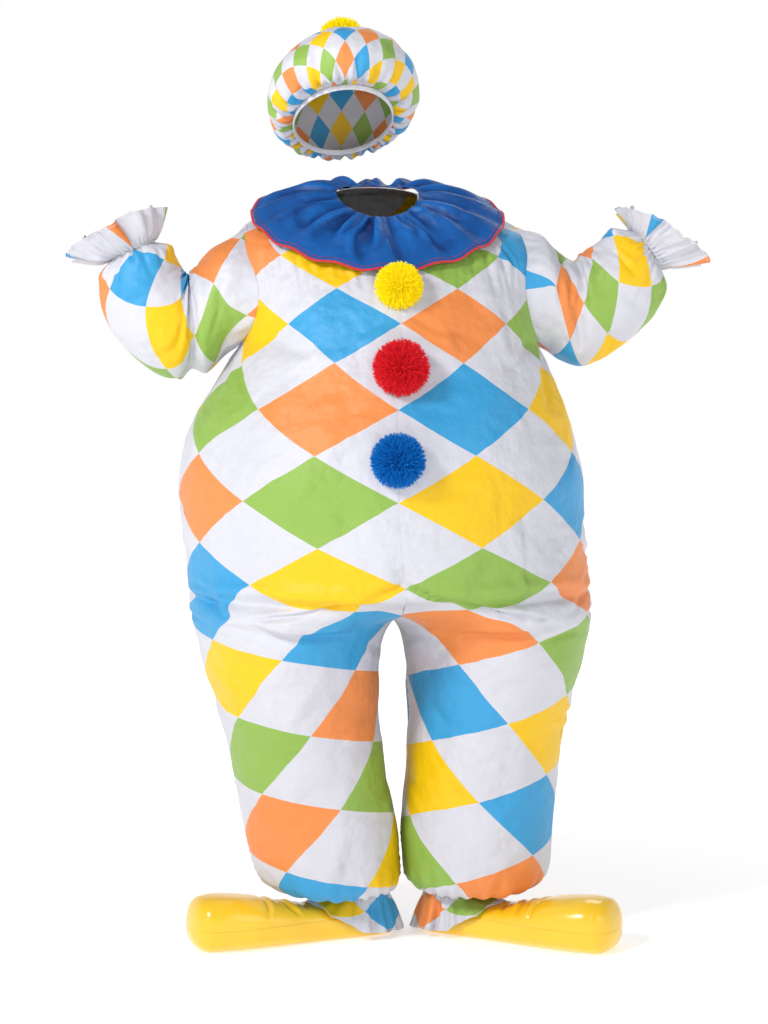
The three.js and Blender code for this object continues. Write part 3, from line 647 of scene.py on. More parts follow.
# %% [markdown]
# ## Colours over the shoulders
#
# The patches that run over the shoulders belong to the sleeves' cut, so they don't follow the
# body's order of colours. Moving whole faces of the print by three columns leaves each diamond
# where it is and only changes its colour.


# %% Shoulder colours
def shoulder_colours(side):
    """Moves the print of the outer column above row 0 by three columns."""
    outer = 0 if side == RIGHT else 3

    def repaint(uv):
        """The faces' places in the print after the move."""
        middle = uv.mean(axis=1)
        over = (np.floor(middle[:, 0]) == outer) & (middle[:, 1] < 0)
        uv[over, :, 0] -= side * 3
        return uv

    return repaint


# %% [markdown]
# ## Where the body creases
#
# Air pushes the cloth tight over the belly and the legs. It creases only where something holds
# it back: under the belly and the seat, where the trunk folds over the legs; from the crotch
# upwards; at the hips; below each armhole; in short gathers under the collar; at the knees and
# round the ankle elastic. Each row of the table is one crease, on the front where its angles
# are positive and on the back where they are negative.

# %% Creases of the body
BODY_CREASES = [  # side, angle and level of both ends, width, depth
    # under the belly, deepest towards the crotch
    (RIGHT, 20, 655, 128, 632, 13, 17),
    (RIGHT, 52, 634, 124, 607, 8, 11),
    (RIGHT, -8, 668, 46, 640, 7, 6),
    (RIGHT, -14, 640, 34, 628, 6, 4.5),
    (RIGHT, 6, 690, 40, 668, 6, 3),
    (LEFT, 16, 662, 128, 632, 13, 17),
    (LEFT, 58, 630, 124, 604, 8, 11),
    (LEFT, -12, 676, 44, 642, 7, 6),
    (LEFT, -6, 644, 30, 634, 6, 5),
    (LEFT, 4, 704, 30, 690, 6, 3.5),
    (RIGHT, 58, 640, 91, 664, 6, 9),
    (LEFT, 62, 638, 91, 664, 6, 9),
    (RIGHT, 40, 618, 84, 592, 7, 5),
    (LEFT, 36, 600, 80, 584, 7, 5),
    # the pinch above the crotch, and what runs into it
    (RIGHT, 88, 676, 89.4, 742, 7, 8),
    (LEFT, 88.6, 668, 89.4, 732, 7, 8),
    (RIGHT, 84, 668, 70, 712, 8, 3),
    (LEFT, 85, 664, 74, 700, 8, 3),
    # under the seat
    (RIGHT, -20, 650, -124, 628, 14, 14),
    (RIGHT, -48, 626, -120, 600, 8, 8),
    (LEFT, -24, 654, -124, 630, 14, 14),
    (LEFT, -58, 624, -122, 604, 8, 7),
    (RIGHT, -89, 668, -89.4, 750, 7, 5),
    (LEFT, -88, 664, -89.4, 744, 7, 5),
    (RIGHT, -70, 676, -84, 720, 9, 3),
    (LEFT, -64, 680, -82, 712, 9, 3),
    # the hip, where the seam takes up cloth
    (LEFT, -10, 745, 22, 752, 8, 6),
    (LEFT, -6, 722, 16, 716, 7, 4),
    (LEFT, 2, 812, 20, 790, 9, 3),
    (RIGHT, -8, 760, 16, 748, 9, 3.5),
    (RIGHT, -4, 836, 18, 820, 9, 2.5),
    # down from the armholes
    (RIGHT, 14, 1140, 40, 1040, 10, 5),
    (RIGHT, 6, 1128, 20, 1000, 12, 4),
    (RIGHT, 28, 1168, 58, 1120, 9, 4),
    (RIGHT, -16, 1136, -40, 1030, 11, 5),
    (RIGHT, -28, 1170, -60, 1110, 10, 4),
    (LEFT, 12, 1138, 34, 1010, 11, 6),
    (LEFT, 24, 1158, 52, 1090, 10, 4),
    (LEFT, 4, 1130, 10, 985, 12, 4),
    (LEFT, -14, 1138, -36, 1024, 11, 5),
    (LEFT, -30, 1166, -62, 1118, 10, 4),
    # over the shoulder blades
    (RIGHT, -36, 1262, -62, 1330, 12, 4),
    (LEFT, -34, 1256, -58, 1336, 12, 4),
    # between the pompoms, where the front is stitched
    (RIGHT, 88, 1180, 70, 1148, 9, 3.5),
    (LEFT, 88, 1196, 66, 1152, 9, 4),
    (LEFT, 87, 1168, 72, 1120, 8, 3.5),
    (RIGHT, 88, 1032, 74, 1010, 8, 2.5),
    (LEFT, 88, 1040, 72, 1004, 8, 2.5),
    # knees
    (LEFT, -14, 470, 36, 430, 9, 6),
    (LEFT, -6, 444, 30, 384, 8, 5),
    (LEFT, 8, 412, 52, 420, 8, 3.5),
    (LEFT, 150, 470, 118, 420, 10, 3),
    (RIGHT, -6, 496, 22, 470, 8, 4.5),
    (RIGHT, -10, 462, 26, 446, 8, 3.5),
    (RIGHT, 152, 452, 112, 404, 10, 3),
    (RIGHT, -30, 430, -92, 396, 12, 5),
    (RIGHT, -54, 400, -120, 424, 10, 4),
    (LEFT, -34, 424, -96, 402, 12, 5),
    (LEFT, -60, 384, -128, 410, 10, 4),
    # the inside of the legs
    (RIGHT, 176, 560, 136, 590, 9, 4),
    (LEFT, 176, 566, 132, 596, 9, 4),
    (RIGHT, 172, 300, 140, 262, 9, 3),
    (LEFT, 174, 320, 138, 276, 9, 3),
]

# %% Relief of the body
NECK_GATHERS = 26  # on each quarter of the neck edge
NECK_GATHER_TOP, NECK_GATHER_LOW = 1400, 1210  # the levels between which they run
ANKLE_GATHERS, ANKLE_GATHER_DEPTH = 22, 2.6
ANKLE_GATHER_LEVELS = (165, 96)  # they grow from the first to the second
MEAN_PACE = 4.2  # mm per degree, one for all levels so that a crease's line stays straight
BODY_SWELLS = ((1.5, 150), (0.7, 46))  # height and length of the swelling between creases
SEAM_REACH, SEAM_DEPTH, SEAM_PUCKER = 9.0, 0.9, 0.8


def neck_gathers(face, seed):
    """Uneven gathers that run down from under the collar, as rows like those of the table."""
    dice = np.random.default_rng(seed)
    rows = []
    for angle in np.linspace(36, 88, NECK_GATHERS):
        start = angle + dice.uniform(-0.8, 0.8)
        low = NECK_GATHER_LOW + dice.uniform(0, 90) * (1 if face == FRONT else 0.7)
        rows.append(
            (face * start, NECK_GATHER_TOP, face * (start - dice.uniform(0, 3)), low,
             dice.uniform(4, 6.5), dice.uniform(1.2, 3.4)))
    return rows


def body_relief(side, angle, level, seed):
    """How far the creased cloth stands off the smooth form, in millimetres."""
    degrees = np.degrees(angle)
    radius = (body_curves["half"](level) + body_curves["front"](level)) / 2
    pace = math.pi / 180 * np.clip(radius, 120, None)
    across = degrees * MEAN_PACE
    table = [
        (a0 * MEAN_PACE, z0, a1 * MEAN_PACE, z1, width, depth)
        for crease_side, a0, z0, a1, z1, width, depth in BODY_CREASES
        if crease_side == side
    ]
    face = FRONT if np.mean(degrees) > 0 else BACK
    gathers = neck_gathers(face, seed)
    table += [(a0 * MEAN_PACE, z0, a1 * MEAN_PACE, z1, w, d) for a0, z0, a1, z1, w, d in gathers]
    relief = creases(across, level, table)
    for number, (height, length) in enumerate(BODY_SWELLS, 1):
        relief += height * swelling(degrees * pace, level, length, seed + number)

    ankle = fade(level, *ANKLE_GATHER_LEVELS)
    gather = np.cos(np.radians(degrees) * ANKLE_GATHERS + 1.7 * np.sin(np.radians(degrees) * 3))
    relief += ankle * ANKLE_GATHER_DEPTH * gather

    # Seams draw the cloth in and pucker it.
    to_side = np.abs(degrees) * pace
    offset = body_curves["offset"](level)
    to_middle = np.where(offset < 5, np.abs(90 - np.abs(degrees)), 180 - np.abs(degrees)) * pace
    for away in (to_side, to_middle):
        pucker = SEAM_PUCKER * np.sin(level / 2.3 + 1.5 * np.sin(level / 17.0))
        relief += (pucker - SEAM_DEPTH) * np.exp(-((away / SEAM_REACH) ** 2))
    return relief


# %% [markdown]
# ## The four panels
#
# Rows follow the armhole's curve, dense where it turns, so that its edge is clean. The relief
# fades out at the armhole, the neck and the ankle, where another piece is sewn on and has to
# meet it. Every printed piece is finished alike, so one function does it for all of them.

# %% Body panels
ARM_ROWS = 44  # rows across the armhole
PANEL_ROWS = (  # from one level down to another, and how many rows; 0 stands for the armhole's
    (1424, 1366, 13), (1362, 1140, 0), (1136, 672, 82), (668, 592, 30), (586, 170, 84),
    (166, 78, 34),
)
PANEL_COLUMNS = 68
CALM_END = 1.35  # creases start beyond this many times the armhole's size
BODY_CUT = (0.66, 1.62)  # the flat panel's greatest width and its length, in metres


def panel_levels():
    """Heights of the rows, from the neck to the ankle."""
    levels = []
    for high, low, count in PANEL_ROWS:
        if count:
            levels.extend(np.linspace(high, low, count))
        else:
            turns = np.linspace(0, math.pi, ARM_ROWS)
            levels.extend(ARMHOLE["level"] + ARMHOLE["height"] * np.cos(turns))
    return np.array(levels)


def body_inside(side, levels):
    """Points on the axis of the trunk or the leg, one for each row."""
    axis = body_curves["lean"](levels) + side * body_curves["offset"](levels)
    return np.stack([axis, np.zeros_like(levels), levels], axis=-1)[:, None, :]


def body_panel(side, face, seed):
    """One panel's points, the points inside it and its places in the print."""
    levels = panel_levels()
    depth = body_curves["front" if face == FRONT else "back"](levels)
    start = np.maximum(armhole_angle(levels), PANEL_GAP / 2 / depth)
    end = inside_angle(levels, depth)
    share = np.linspace(0, 1, PANEL_COLUMNS)[None, :]
    angle = face * (start[:, None] + (end - start)[:, None] * share)
    level = np.broadcast_to(levels[:, None], angle.shape)
    points = body_point(side, angle, level)
    inside = body_inside(side, levels)
    normals = grid_normals(points, inside)
    off_hole = np.hypot(
        (level - ARMHOLE["level"]) / ARMHOLE["height"], angle / ARMHOLE["angle"])
    calm = fade(off_hole, 1.0, CALM_END)
    calm = calm * fade(level, NECK_LEVEL, 1400) * fade(level, ANKLE_LEVEL, 84)
    relief = body_relief(side, angle, level, seed)
    points = points + normals * (relief * calm)[..., None]
    return points, inside, body_print(side, angle, level)


# %% Four panels
def printed_piece(name, grid, flat, held, wall, **shape):
    """A piece of printed cloth from its points, the points inside it and its print."""
    points, inside, print_at = grid
    piece = grid_mesh(f"{name}_cloth", points, inside, print_at=print_at, **shape)
    finish_piece(piece, printed_cloth, [name], wall)


PANELS = (("front_right", RIGHT, FRONT), ("front_left", LEFT, FRONT),
          ("back_right", RIGHT, BACK), ("back_left", LEFT, BACK))
for number, (name, side, face) in enumerate(PANELS):
    printed_piece(name, body_panel(side, face, 10 * number), BODY_CUT, "stretched", CLOTH_WALL,
                  repaint=shoulder_colours(side))

# %% [markdown]
# ## Sleeves
#
# Each sleeve is one tube, sewn into the armhole, bent at the elbow and drawn in by an elastic
# at the wrist. Rings give its form: the top and the low point of each as seen from the front,
# how far it lies forward and half its depth. The first ring is the armhole's own edge.

# %% Sleeve rings
SLEEVE_COLUMNS = ("top_x", "top_z", "low_x", "low_z", "forward", "depth", "tip", "ruffle")
SLEEVE_RINGS = {
    RIGHT: [
        (-294, 1340, -305, 1117, 0, 104),
        (-326, 1323, -323, 1098, 2, 99),
        (-355, 1294, -342, 1085, 6, 90),
        (-371, 1275, -366, 1093, 9, 76),  # elbow crease
        (-375, 1272, -392, 1071, 12, 84),
        (-378, 1274, -432, 1083, 15, 88),
        (-382, 1279, -482, 1121, 18, 86),
        (-387, 1287, -520, 1167, 20, 81),
        (-394, 1301, -538, 1217, 22, 75),
        (-404, 1325, -540, 1261, 24, 63),
        (-438, 1332, -515, 1300, 25, 40),  # wrist elastic
    ],
    LEFT: [
        (298, 1350, 315, 1127, 0, 104),
        (326, 1323, 340, 1110, 2, 99),
        (357, 1302, 374, 1098, 8, 84),  # elbow crease
        (380, 1315, 413, 1110, 11, 92),
        (399, 1327, 453, 1133, 14, 90),
        (415, 1337, 493, 1167, 17, 85),
        (424, 1350, 522, 1202, 20, 77),
        (436, 1362, 540, 1244, 23, 64),
        (476, 1356, 528, 1284, 25, 41),  # wrist elastic
    ],
}
WRIST_FRILLS = {
    RIGHT: [(-428, 1352, -543, 1290, 28, 54, 12, 3), (-427, 1380, -584, 1300, 32, 68, 26, 7)],
    LEFT: [(466, 1373, 560, 1286, 28, 54, 8, 3), (458, 1387, 605, 1297, 32, 66, 14, 7)],
}
WRIST_WAVES = 12


def ring_points(ring, turn, waves=0):
    """A ring of cloth: turn 0 is its top and a quarter turn the front."""
    ring = dict(zip(SLEEVE_COLUMNS, (*ring, 0, 0)))
    top = np.array([ring["top_x"], -ring["forward"], ring["top_z"]], float)
    low = np.array([ring["low_x"], -ring["forward"], ring["low_z"]], float)
    centre, up = (top + low) / 2, (top - low) / 2
    radius = np.linalg.norm(up)
    beyond = np.cross(up / radius, (0, math.copysign(1, top[0]), 0))
    swell = 1 + ring["ruffle"] / radius * np.cos(waves * turn)
    return (
        centre
        + (swell * np.cos(turn))[:, None] * up
        + (swell * ring["depth"] * np.sin(turn))[:, None] * np.array([0, -1, 0])
        - (ring["tip"] / 2 * np.sin(turn))[:, None] * beyond
    )


def armhole_edge(side, turn):
    """The armhole's edge, drawn in by the seam gap."""
    drawn_in = 1 - 1.5 * SEAM_GAP / ARMHOLE["height"]
    angle = ARMHOLE["angle"] * drawn_in * np.sin(turn)
    return body_point(side, angle, ARMHOLE["level"] + ARMHOLE["height"] * drawn_in * np.cos(turn))


# %% [markdown]
# ## Creases of the sleeves
#
# The arm is raised, so the sleeve folds sharply across the inside of the elbow and fans out from
# there. Short gathers run from the wrist elastic and, more softly, from the armhole seam. Here
# a crease's place is its turn round the sleeve in degrees and the number of the ring.

# %% Creases of the sleeves
RING_PACE = 30.0  # mm from ring to ring
TURN_PACE = 1.6  # mm for each degree round the sleeve
ARM_RADIUS = 90
SLEEVE_CREASES = {
    RIGHT: [
        (-30, 4.0, 118, 4.1, 6, 9),
        (40, 3.9, 165, 4.3, 7, 6),
        (-70, 4.3, 24, 4.7, 7, 6),
        (4, 4.7, 66, 5.7, 6, 5),
        (-14, 4.9, 34, 6.6, 7, 4),
        (12, 3.3, 76, 2.5, 8, 5),
        (-16, 3.3, 44, 2.0, 9, 4),
        (84, 5.0, 140, 6.2, 8, 3.5),
        (60, 7.4, 120, 8.3, 8, 3),
        (150, 4.5, 196, 5.6, 9, 4),
        (-90, 3.0, -40, 2.2, 10, 4),
        (-100, 5.2, -52, 6.6, 9, 4),
        (70, 1.2, 116, 1.9, 10, 3),
        (20, 8.0, 74, 8.9, 7, 3),
    ],
    LEFT: [
        (-24, 3.0, 96, 3.15, 6, 9),
        (52, 3.2, 140, 3.0, 7, 6),
        (-60, 3.1, 10, 3.5, 7, 6),
        (14, 2.6, 62, 1.9, 7, 5),
        (26, 2.3, 92, 2.4, 6, 5),
        (60, 2.0, 112, 1.7, 7, 4),
        (2, 3.5, 60, 4.4, 7, 5),
        (-12, 3.8, 36, 5.2, 8, 4),
        (100, 3.6, 160, 4.5, 9, 4),
        (90, 5.6, 140, 6.6, 8, 3.5),
        (-96, 2.4, -44, 1.8, 10, 4),
        (-104, 4.0, -50, 5.4, 9, 4),
        (40, 6.0, 96, 6.8, 7, 3),
    ],
}


def round_gathers(count, start, reach, width, depth, seed):
    """Short uneven gathers all round a tube, from one ring towards another."""
    dice = np.random.default_rng(seed)
    rows = []
    for k in range(count):
        turn = -180 + 360 * (k + dice.uniform(0.2, 0.8)) / count
        end = start + reach * dice.uniform(0.45, 1.0)
        back = start - 0.25 * reach  # the crease is deepest at the elastic itself
        rows.append((turn, back, turn + dice.uniform(-7, 7), end,
                     width * dice.uniform(0.7, 1.2), depth * dice.uniform(0.5, 1.0)))
    return rows


def sleeve_relief(side, turn, ring, last):
    """Creases and gathers of a sleeve, in millimetres off its smooth form."""
    table = list(SLEEVE_CREASES[side])
    table += round_gathers(30, start=last, reach=-2.6, width=5.0, depth=4.2, seed=31 + side)
    table += round_gathers(22, start=0.0, reach=1.5, width=6.0, depth=2.6, seed=41 + side)
    relief = creases_round(turn, ring, table, TURN_PACE, RING_PACE)
    ways = np.sin(turn) * ARM_RADIUS, np.cos(turn) * ARM_RADIUS + ring * RING_PACE
    relief += 1.4 * swelling(*ways, 110, 51 + side) + 0.7 * swelling(*ways, 36, 61 + side)
    return relief * fade(ring, 0, 0.25)


# %% [markdown]
# ## The print on the sleeves
#
# The sleeves are cut from the same roll. Four columns of the print go round each, a quarter
# turn wide, and one of them runs along the front of the arm. The table pins rows of the print
# to rings, and that column's middle to a turn.

# %% Sleeves
SLEEVE_PRINT = {  # ring numbers, the print's row there, and the turn of column 1's middle
    RIGHT: {"ring": (0, 0.3, 3.8, 7.6, 11), "row": (1.92, 2, 3, 4, 5),
            "turn": (117, 117, 110, 96, 86)},
    LEFT: {"ring": (0, 1.4, 3.2, 5.5, 9), "row": (0.88, 1, 2, 3, 4),
           "turn": (82, 82, 81, 80, 66)},
}
SLEEVE_TURNS, SLEEVE_ROWS = 120, 116
SLEEVE_CUT = (0.72, 0.56)


def tube_print(side, turn, ring):
    """The place in the print of a point of a sleeve, or of the frill after its last ring."""
    pins = SLEEVE_PRINT[side]
    row = np.interp(ring, pins["ring"], pins["row"])
    past = np.maximum(ring - pins["ring"][-1], 0)
    middle = np.interp(ring, pins["ring"], pins["turn"])
    column = 1.5 + (np.degrees(turn) - middle) / 90
    return np.stack([column, row + 0.13 * past], axis=-1)


def ring_middles(rings):
    """The middle of each ring of points."""
    return rings.mean(axis=1, keepdims=True)


def sleeve(side):
    """A sleeve's points, the points inside it and its places in the print."""
    rings = SLEEVE_RINGS[side]
    last = len(rings)
    turn = all_round(SLEEVE_TURNS)
    stack = np.stack([armhole_edge(side, turn), *[ring_points(ring, turn) for ring in rings]])
    numbers = np.linspace(0, last, SLEEVE_ROWS)
    smooth = smooth_curve(np.arange(last + 1), stack)(numbers)
    inside = ring_middles(smooth)
    ring_grid = numbers[:, None] + 0 * turn
    relief = sleeve_relief(side, turn[None, :], ring_grid, last)
    normals = grid_normals(smooth, inside, around=True)
    points = smooth + normals * relief[..., None]
    turns = np.append(turn, FULL_TURN)
    print_at = tube_print(side, turns[None, :], numbers[:, None] + 0 * turns)
    return points, inside, print_at


for side, name in SIDE_NAMES.items():
    printed_piece(f"sleeve_{name}", sleeve(side), SLEEVE_CUT, "stretched", CLOTH_WALL,
                  around=True)

# %% [markdown]
# ## Wrist frills
#
# Past the elastic the sleeve's end stands free as a frill. It has far more cloth than its edge
# is long, so it ruffles: even waves that come from the gathering, and slower uneven ones that
# make every frill different.

# %% Wrist frills
FRILL_TURNS, FRILL_ROWS = 288, 22
WRIST_FLOP = 14.0  # how far the soft hem falls past the source's firm one
FRILL_WALL = 1.0
WRIST_FRILL_CUT = (0.5, 0.075)


def ruffle(turn, out, waves, depth, seed):
    """Uneven ruffles, growing from nothing at the gathered edge to depth at the hem."""
    dice = np.random.default_rng(seed)
    shifts = dice.uniform(0, FULL_TURN, 4)
    drift = 0.9 * np.sin(2 * turn + shifts[0]) + 0.5 * np.sin(3 * turn + shifts[1])
    size = 1 + 0.35 * np.sin(2 * turn + shifts[2]) + 0.25 * np.sin(5 * turn + shifts[3])
    return depth * out * size * np.cos(waves * turn + drift)


def elastic_gathers(turn, out, count, depth, place, reach):
    """Fine gathers that are deepest at one place below an elastic."""
    fine = depth * np.cos(count * turn)[None, :]
    return fine * np.exp(-(((out - place) / reach) ** 2))[:, None]


def wrist_frill(side):
    """A frill's points, the points inside it and its places in the print."""
    rings = WRIST_FRILLS[side]
    turn = all_round(FRILL_TURNS)
    edge = ring_points(SLEEVE_RINGS[side][-1], turn)
    stack = np.stack([edge, *[ring_points(ring, turn, WRIST_WAVES) for ring in rings]])
    out = np.linspace(0, 1, FRILL_ROWS)
    smooth = smooth_curve((0, 0.45, 1), stack)(out)
    hem_way = smooth[-1] - smooth[-4]
    hem_way /= np.linalg.norm(hem_way, axis=-1, keepdims=True)
    smooth = smooth + WRIST_FLOP * out[:, None, None] ** 2 * hem_way
    inside = ring_middles(smooth)
    normals = grid_normals(smooth, inside, around=True)
    relief = ruffle(turn[None, :], out[:, None], 2 * WRIST_WAVES - 3, 4.5, 71 + side)
    relief += ruffle(turn[None, :], out[:, None] ** 1.5, 7, 7.0, 75 + side)
    relief += elastic_gathers(turn, out, 36, depth=2.2, place=0.12, reach=0.16)
    relief *= fade(out, 0, 0.08)[:, None]
    start = smooth[1] - smooth[0]
    gap = SEAM_GAP * start / np.linalg.norm(start, axis=-1, keepdims=True)
    points = smooth + normals * relief[..., None] + gap * (1 - out)[:, None, None]
    turns = np.append(turn, FULL_TURN)
    last = SLEEVE_PRINT[side]["ring"][-1]
    print_at = tube_print(side, turns[None, :], last + 0.6 * out[:, None] + 0 * turns)
    return points, inside, print_at


frills = {}  # kept for the stitches along their edges
for side, name in SIDE_NAMES.items():
    frills["wrist", side] = wrist_frill(side)
    printed_piece(f"wrist_frill_{name}", frills["wrist", side], WRIST_FRILL_CUT, "gathered",
                  FRILL_WALL, around=True)

# %% [markdown]
# ## Collar
#
# The collar is a ring of plain cloth gathered hard at the neck and left free outside, where a
# red binding keeps its edge crisp. The neck edge is far shorter than the outer one, so folds
# fan out from it; they are deepest over the breastbone and soften over the left shoulder.

# %% Collar measures
COLLAR_X = -12
COLLAR_EDGES = {
    "inner": {"half": 79, "front": 75, "back": 77, "heights": (1377.6, 1426.4, 1446.6)},
    "outer": {"half": 238, "front": 204, "back": 196, "heights": (1277, 1388, 1453)},
}
COLLAR_ARCH, COLLAR_GATHERS = 11, 16
COLLAR_LOWEST = -4.0  # no fold goes deeper, because the jumpsuit lies right under it
COLLAR_FRONT_LIFT = 2.5  # over the breastbone the folds stand clear of the jumpsuit
COLLAR_PACE, COLLAR_REACH = 2.4, 150.0  # mm for each degree, and from the neck to the edge
FINE_FOLDS, FINE_FOLD_DEPTH = 23, 5.5
COLLAR_TURNS, COLLAR_ROWS = 432, 34
COLLAR_CREASES = [  # turn in degrees (0 the front, positive to the left), share outwards
    (-34, 0.02, -40, 0.80, 6, 7), (-22, 0.02, -26, 0.62, 5, 6), (-13, 0.02, -12, 0.94, 6, 9),
    (-3, 0.02, -2, 0.72, 5, 8), (6, 0.02, 8, 0.96, 6, 9), (17, 0.02, 21, 0.66, 5, 7),
    (28, 0.02, 33, 0.90, 6, 7), (41, 0.02, 47, 0.55, 6, 5), (56, 0.02, 62, 0.74, 7, 4),
    (-48, 0.02, -56, 0.58, 6, 5), (-62, 0.02, -66, 0.84, 7, 5), (-80, 0.02, -84, 0.5, 7, 4),
    (76, 0.02, 80, 0.6, 7, 4), (98, 0.02, 101, 0.8, 7, 4), (-102, 0.02, -106, 0.76, 7, 5),
    (120, 0.02, 124, 0.6, 7, 5), (-124, 0.02, -122, 0.6, 6, 5), (140, 0.02, 143, 0.9, 7, 5),
    (-146, 0.02, -150, 0.85, 7, 6), (160, 0.02, 160, 0.55, 6, 5), (-168, 0.02, -168, 0.7, 6, 5),
    (178, 0.02, 178, 0.9, 6, 5),
    (52, 0.35, 74, 0.62, 9, 3), (-70, 0.55, -44, 0.72, 9, 3), (20, 0.70, 44, 0.82, 8, 2.5),
]


# %% Collar form
def collar_edge(edge, turn):
    """A ring of points from an edge's half width, its depths and its three heights."""
    front, flank, back = edge["heights"]
    mean, slant = (front + back + 2 * flank) / 4, (front - back) / 2
    bow = (front + back - 2 * flank) / 4
    depth = np.where(np.cos(turn) > 0, edge["front"], edge["back"])
    return np.stack(
        [COLLAR_X + edge["half"] * np.sin(turn), -depth * np.cos(turn),
         mean + slant * np.cos(turn) + bow * np.cos(2 * turn)], axis=-1)


def collar_surface(turn, out):
    """The collar's upper side: out is 0 at the neck and 1 at the binding."""
    turn, out = np.broadcast_arrays(turn, out)
    inner, outer = (collar_edge(COLLAR_EDGES[name], turn) for name in ("inner", "outer"))
    points = inner + (outer - inner) * out[..., None]
    free = np.maximum(0, 1 - out)
    gather = 0.3 + 26 * out * free**1.4 + 3 * out  # flat at the neck, deepest before half way
    points[..., 2] += COLLAR_ARCH * np.sin(math.pi * out)
    points[..., 2] += gather * np.cos(COLLAR_GATHERS * turn)
    return points


def collar_relief(turn, out):
    """Folds that fan out from the neck, closest and deepest in front."""
    relief = creases_round(turn, out, COLLAR_CREASES, COLLAR_PACE, COLLAR_REACH)
    relief += 1.6 * swelling(np.sin(turn) * 160 * out, np.cos(turn) * 160 * out, 70, 81)
    front = 0.4 + 0.6 * np.maximum(np.cos(turn), 0)
    drift = 1.3 * np.sin(3 * turn + 0.6) + 0.8 * np.sin(5 * turn + 2)
    fine = FINE_FOLD_DEPTH * front * np.cos(FINE_FOLDS * turn + drift)
    relief += fine * np.exp(-(((out - 0.26) / 0.3) ** 2))
    return relief * fade(out, 0, 0.1) * (1 - 0.75 * fade(out, 0.8, 1.0))


# %% Collar
turn = all_round(COLLAR_TURNS)
out = np.linspace(0, 1, COLLAR_ROWS)[:, None]
collar_points = collar_surface(turn[None, :], out)
under_collar = collar_points.mean(axis=(0, 1)) - (0, 0, 300)
collar_normals = grid_normals(collar_points, under_collar, around=True)
lift = np.maximum(collar_relief(turn[None, :], out * np.ones_like(turn)), COLLAR_LOWEST)
in_front = (np.maximum(np.cos(turn), 0) ** 2)[None, :]
lift += COLLAR_FRONT_LIFT * in_front * (1 - fade(out, 0.6, 1.0)) * fade(out, 0, 0.1)
collar_points = collar_points + collar_normals * lift[..., None]
collar = grid_mesh("collar_cloth_ring", collar_points, under_collar, True)

# The painted shade is deepest in the folds near the neck and weakest at the binding.
crest = np.cos(COLLAR_GATHERS * turn)[None, :] * np.exp(-(((out - 0.2) / 0.26) ** 2))
painted_fold_shade = np.clip(0.5 - 0.32 * crest - lift / 12, 0, 1) * (1 - 0.6 * fade(out, 0.75, 1.0))
shade = collar.data.attributes.new("painted_fold_shade", "FLOAT", "POINT")
shade.data.foreach_set("value", painted_fold_shade.ravel().astype(np.float32))
finish_piece(collar, collar_cloth, ["collar"], FRILL_WALL)
print(f"collar: {cloth_area(collar_points):.3f} m2 of cloth")

# %% [markdown]
# ## Binding
#
# The binding is a folded strip sewn over the collar's raw edge: a soft flattened tube that
# follows the edge through all its waves. We sweep an oval of ten points along it.

# %% Collar binding
BINDING_WIDTH, BINDING_THICKNESS, BINDING_SIDES = 5.4, 4.0, 10
edge, before = collar_points[-1], collar_points[-3]
outward = edge - before
outward /= np.linalg.norm(outward, axis=-1, keepdims=True)
upward = collar_normals[-1]
rings = []
for k in range(BINDING_SIDES + 1):
    roll = k / BINDING_SIDES * FULL_TURN
    rings.append(edge + outward * (SEAM_GAP + BINDING_WIDTH / 2 * (1 + math.cos(roll)))
                 + upward * (BINDING_THICKNESS / 2 * math.sin(roll) - FRILL_WALL / 2))
binding_points = np.stack(rings)
binding = grid_mesh("collar_binding_strip", binding_points, binding_points.mean(axis=0), True)
merge_doubles(binding)
finish_piece(binding, binding_cloth, ["collar_binding"])
print("binding:", len(binding.data.polygons), "faces")

# %% [markdown]
# ## Cap
#
# The cap is cut as one big disc and gathered onto an elastic, which puffs it up. Its print is
# therefore a flat lattice laid over the disc: upright diamonds in front, and at the sides the
# same diamonds lying on their backs, squeezed by the gathers. It is tipped back on the head.

# %% Cap form
CAP = {"centre": (-78, 0, 1569), "half": 96, "front": 112, "tip": 28, "roll": 5,
       "slump_x": 0.1, "slump_y": 0.2, "top": 140}
CAP_PROFILE = (  # height above the opening, reach beyond the opening's ellipse
    (0, 1.0), (-4, 1.2), (10, 1.42), (37, 1.52), (67, 1.45), (99, 1.18), (124, 0.76),
    (137, 0.32), (140, 0.0),
)
CAP_TURNS, CAP_ROWS = 240, 62
CAP_PACE, CAP_ROW_PACE = 2.4, 30.0  # mm for each degree and each row of the profile
CAP_GATHERS, CAP_GATHER_DEPTH = 44, 2.6
CAP_PATCH = (55.0, 66.0)  # width and height of a cell of its print, laid flat
CAP_MIDDLE = (1.5, -1.92)  # the disc's middle in the print
cap_up = smooth_curve(range(len(CAP_PROFILE)), [up for up, _ in CAP_PROFILE])
cap_reach = smooth_curve(range(len(CAP_PROFILE)), [reach for _, reach in CAP_PROFILE])
cap_turned = np.array(Matrix.Rotation(-math.radians(CAP["roll"]), 3, "Y")
                      @ Matrix.Rotation(-math.radians(CAP["tip"]), 3, "X"))


def on_head(x, y, z):
    """A point of the cap in its own frame, slumped, turned and carried to the head."""
    x, y, z = np.broadcast_arrays(x, y, z)
    point = np.stack([x + CAP["slump_x"] * z, y - CAP["slump_y"] * z, z], axis=-1)
    return point @ cap_turned.T + np.array(CAP["centre"])


def cap_surface(turn, row):
    """The smooth form of the crown."""
    reach = cap_reach(row)
    return on_head(CAP["half"] * reach * np.sin(turn), -CAP["front"] * reach * np.cos(turn),
                   cap_up(row))


def flat_radius(rows):
    """How far each row lies from the disc's middle, laid flat, in millimetres."""
    mean = (CAP["half"] + CAP["front"]) / 2
    steps = np.hypot(np.diff(cap_reach(rows) * mean), np.diff(cap_up(rows)))
    return np.append(np.cumsum(steps[::-1])[::-1], 0.0)


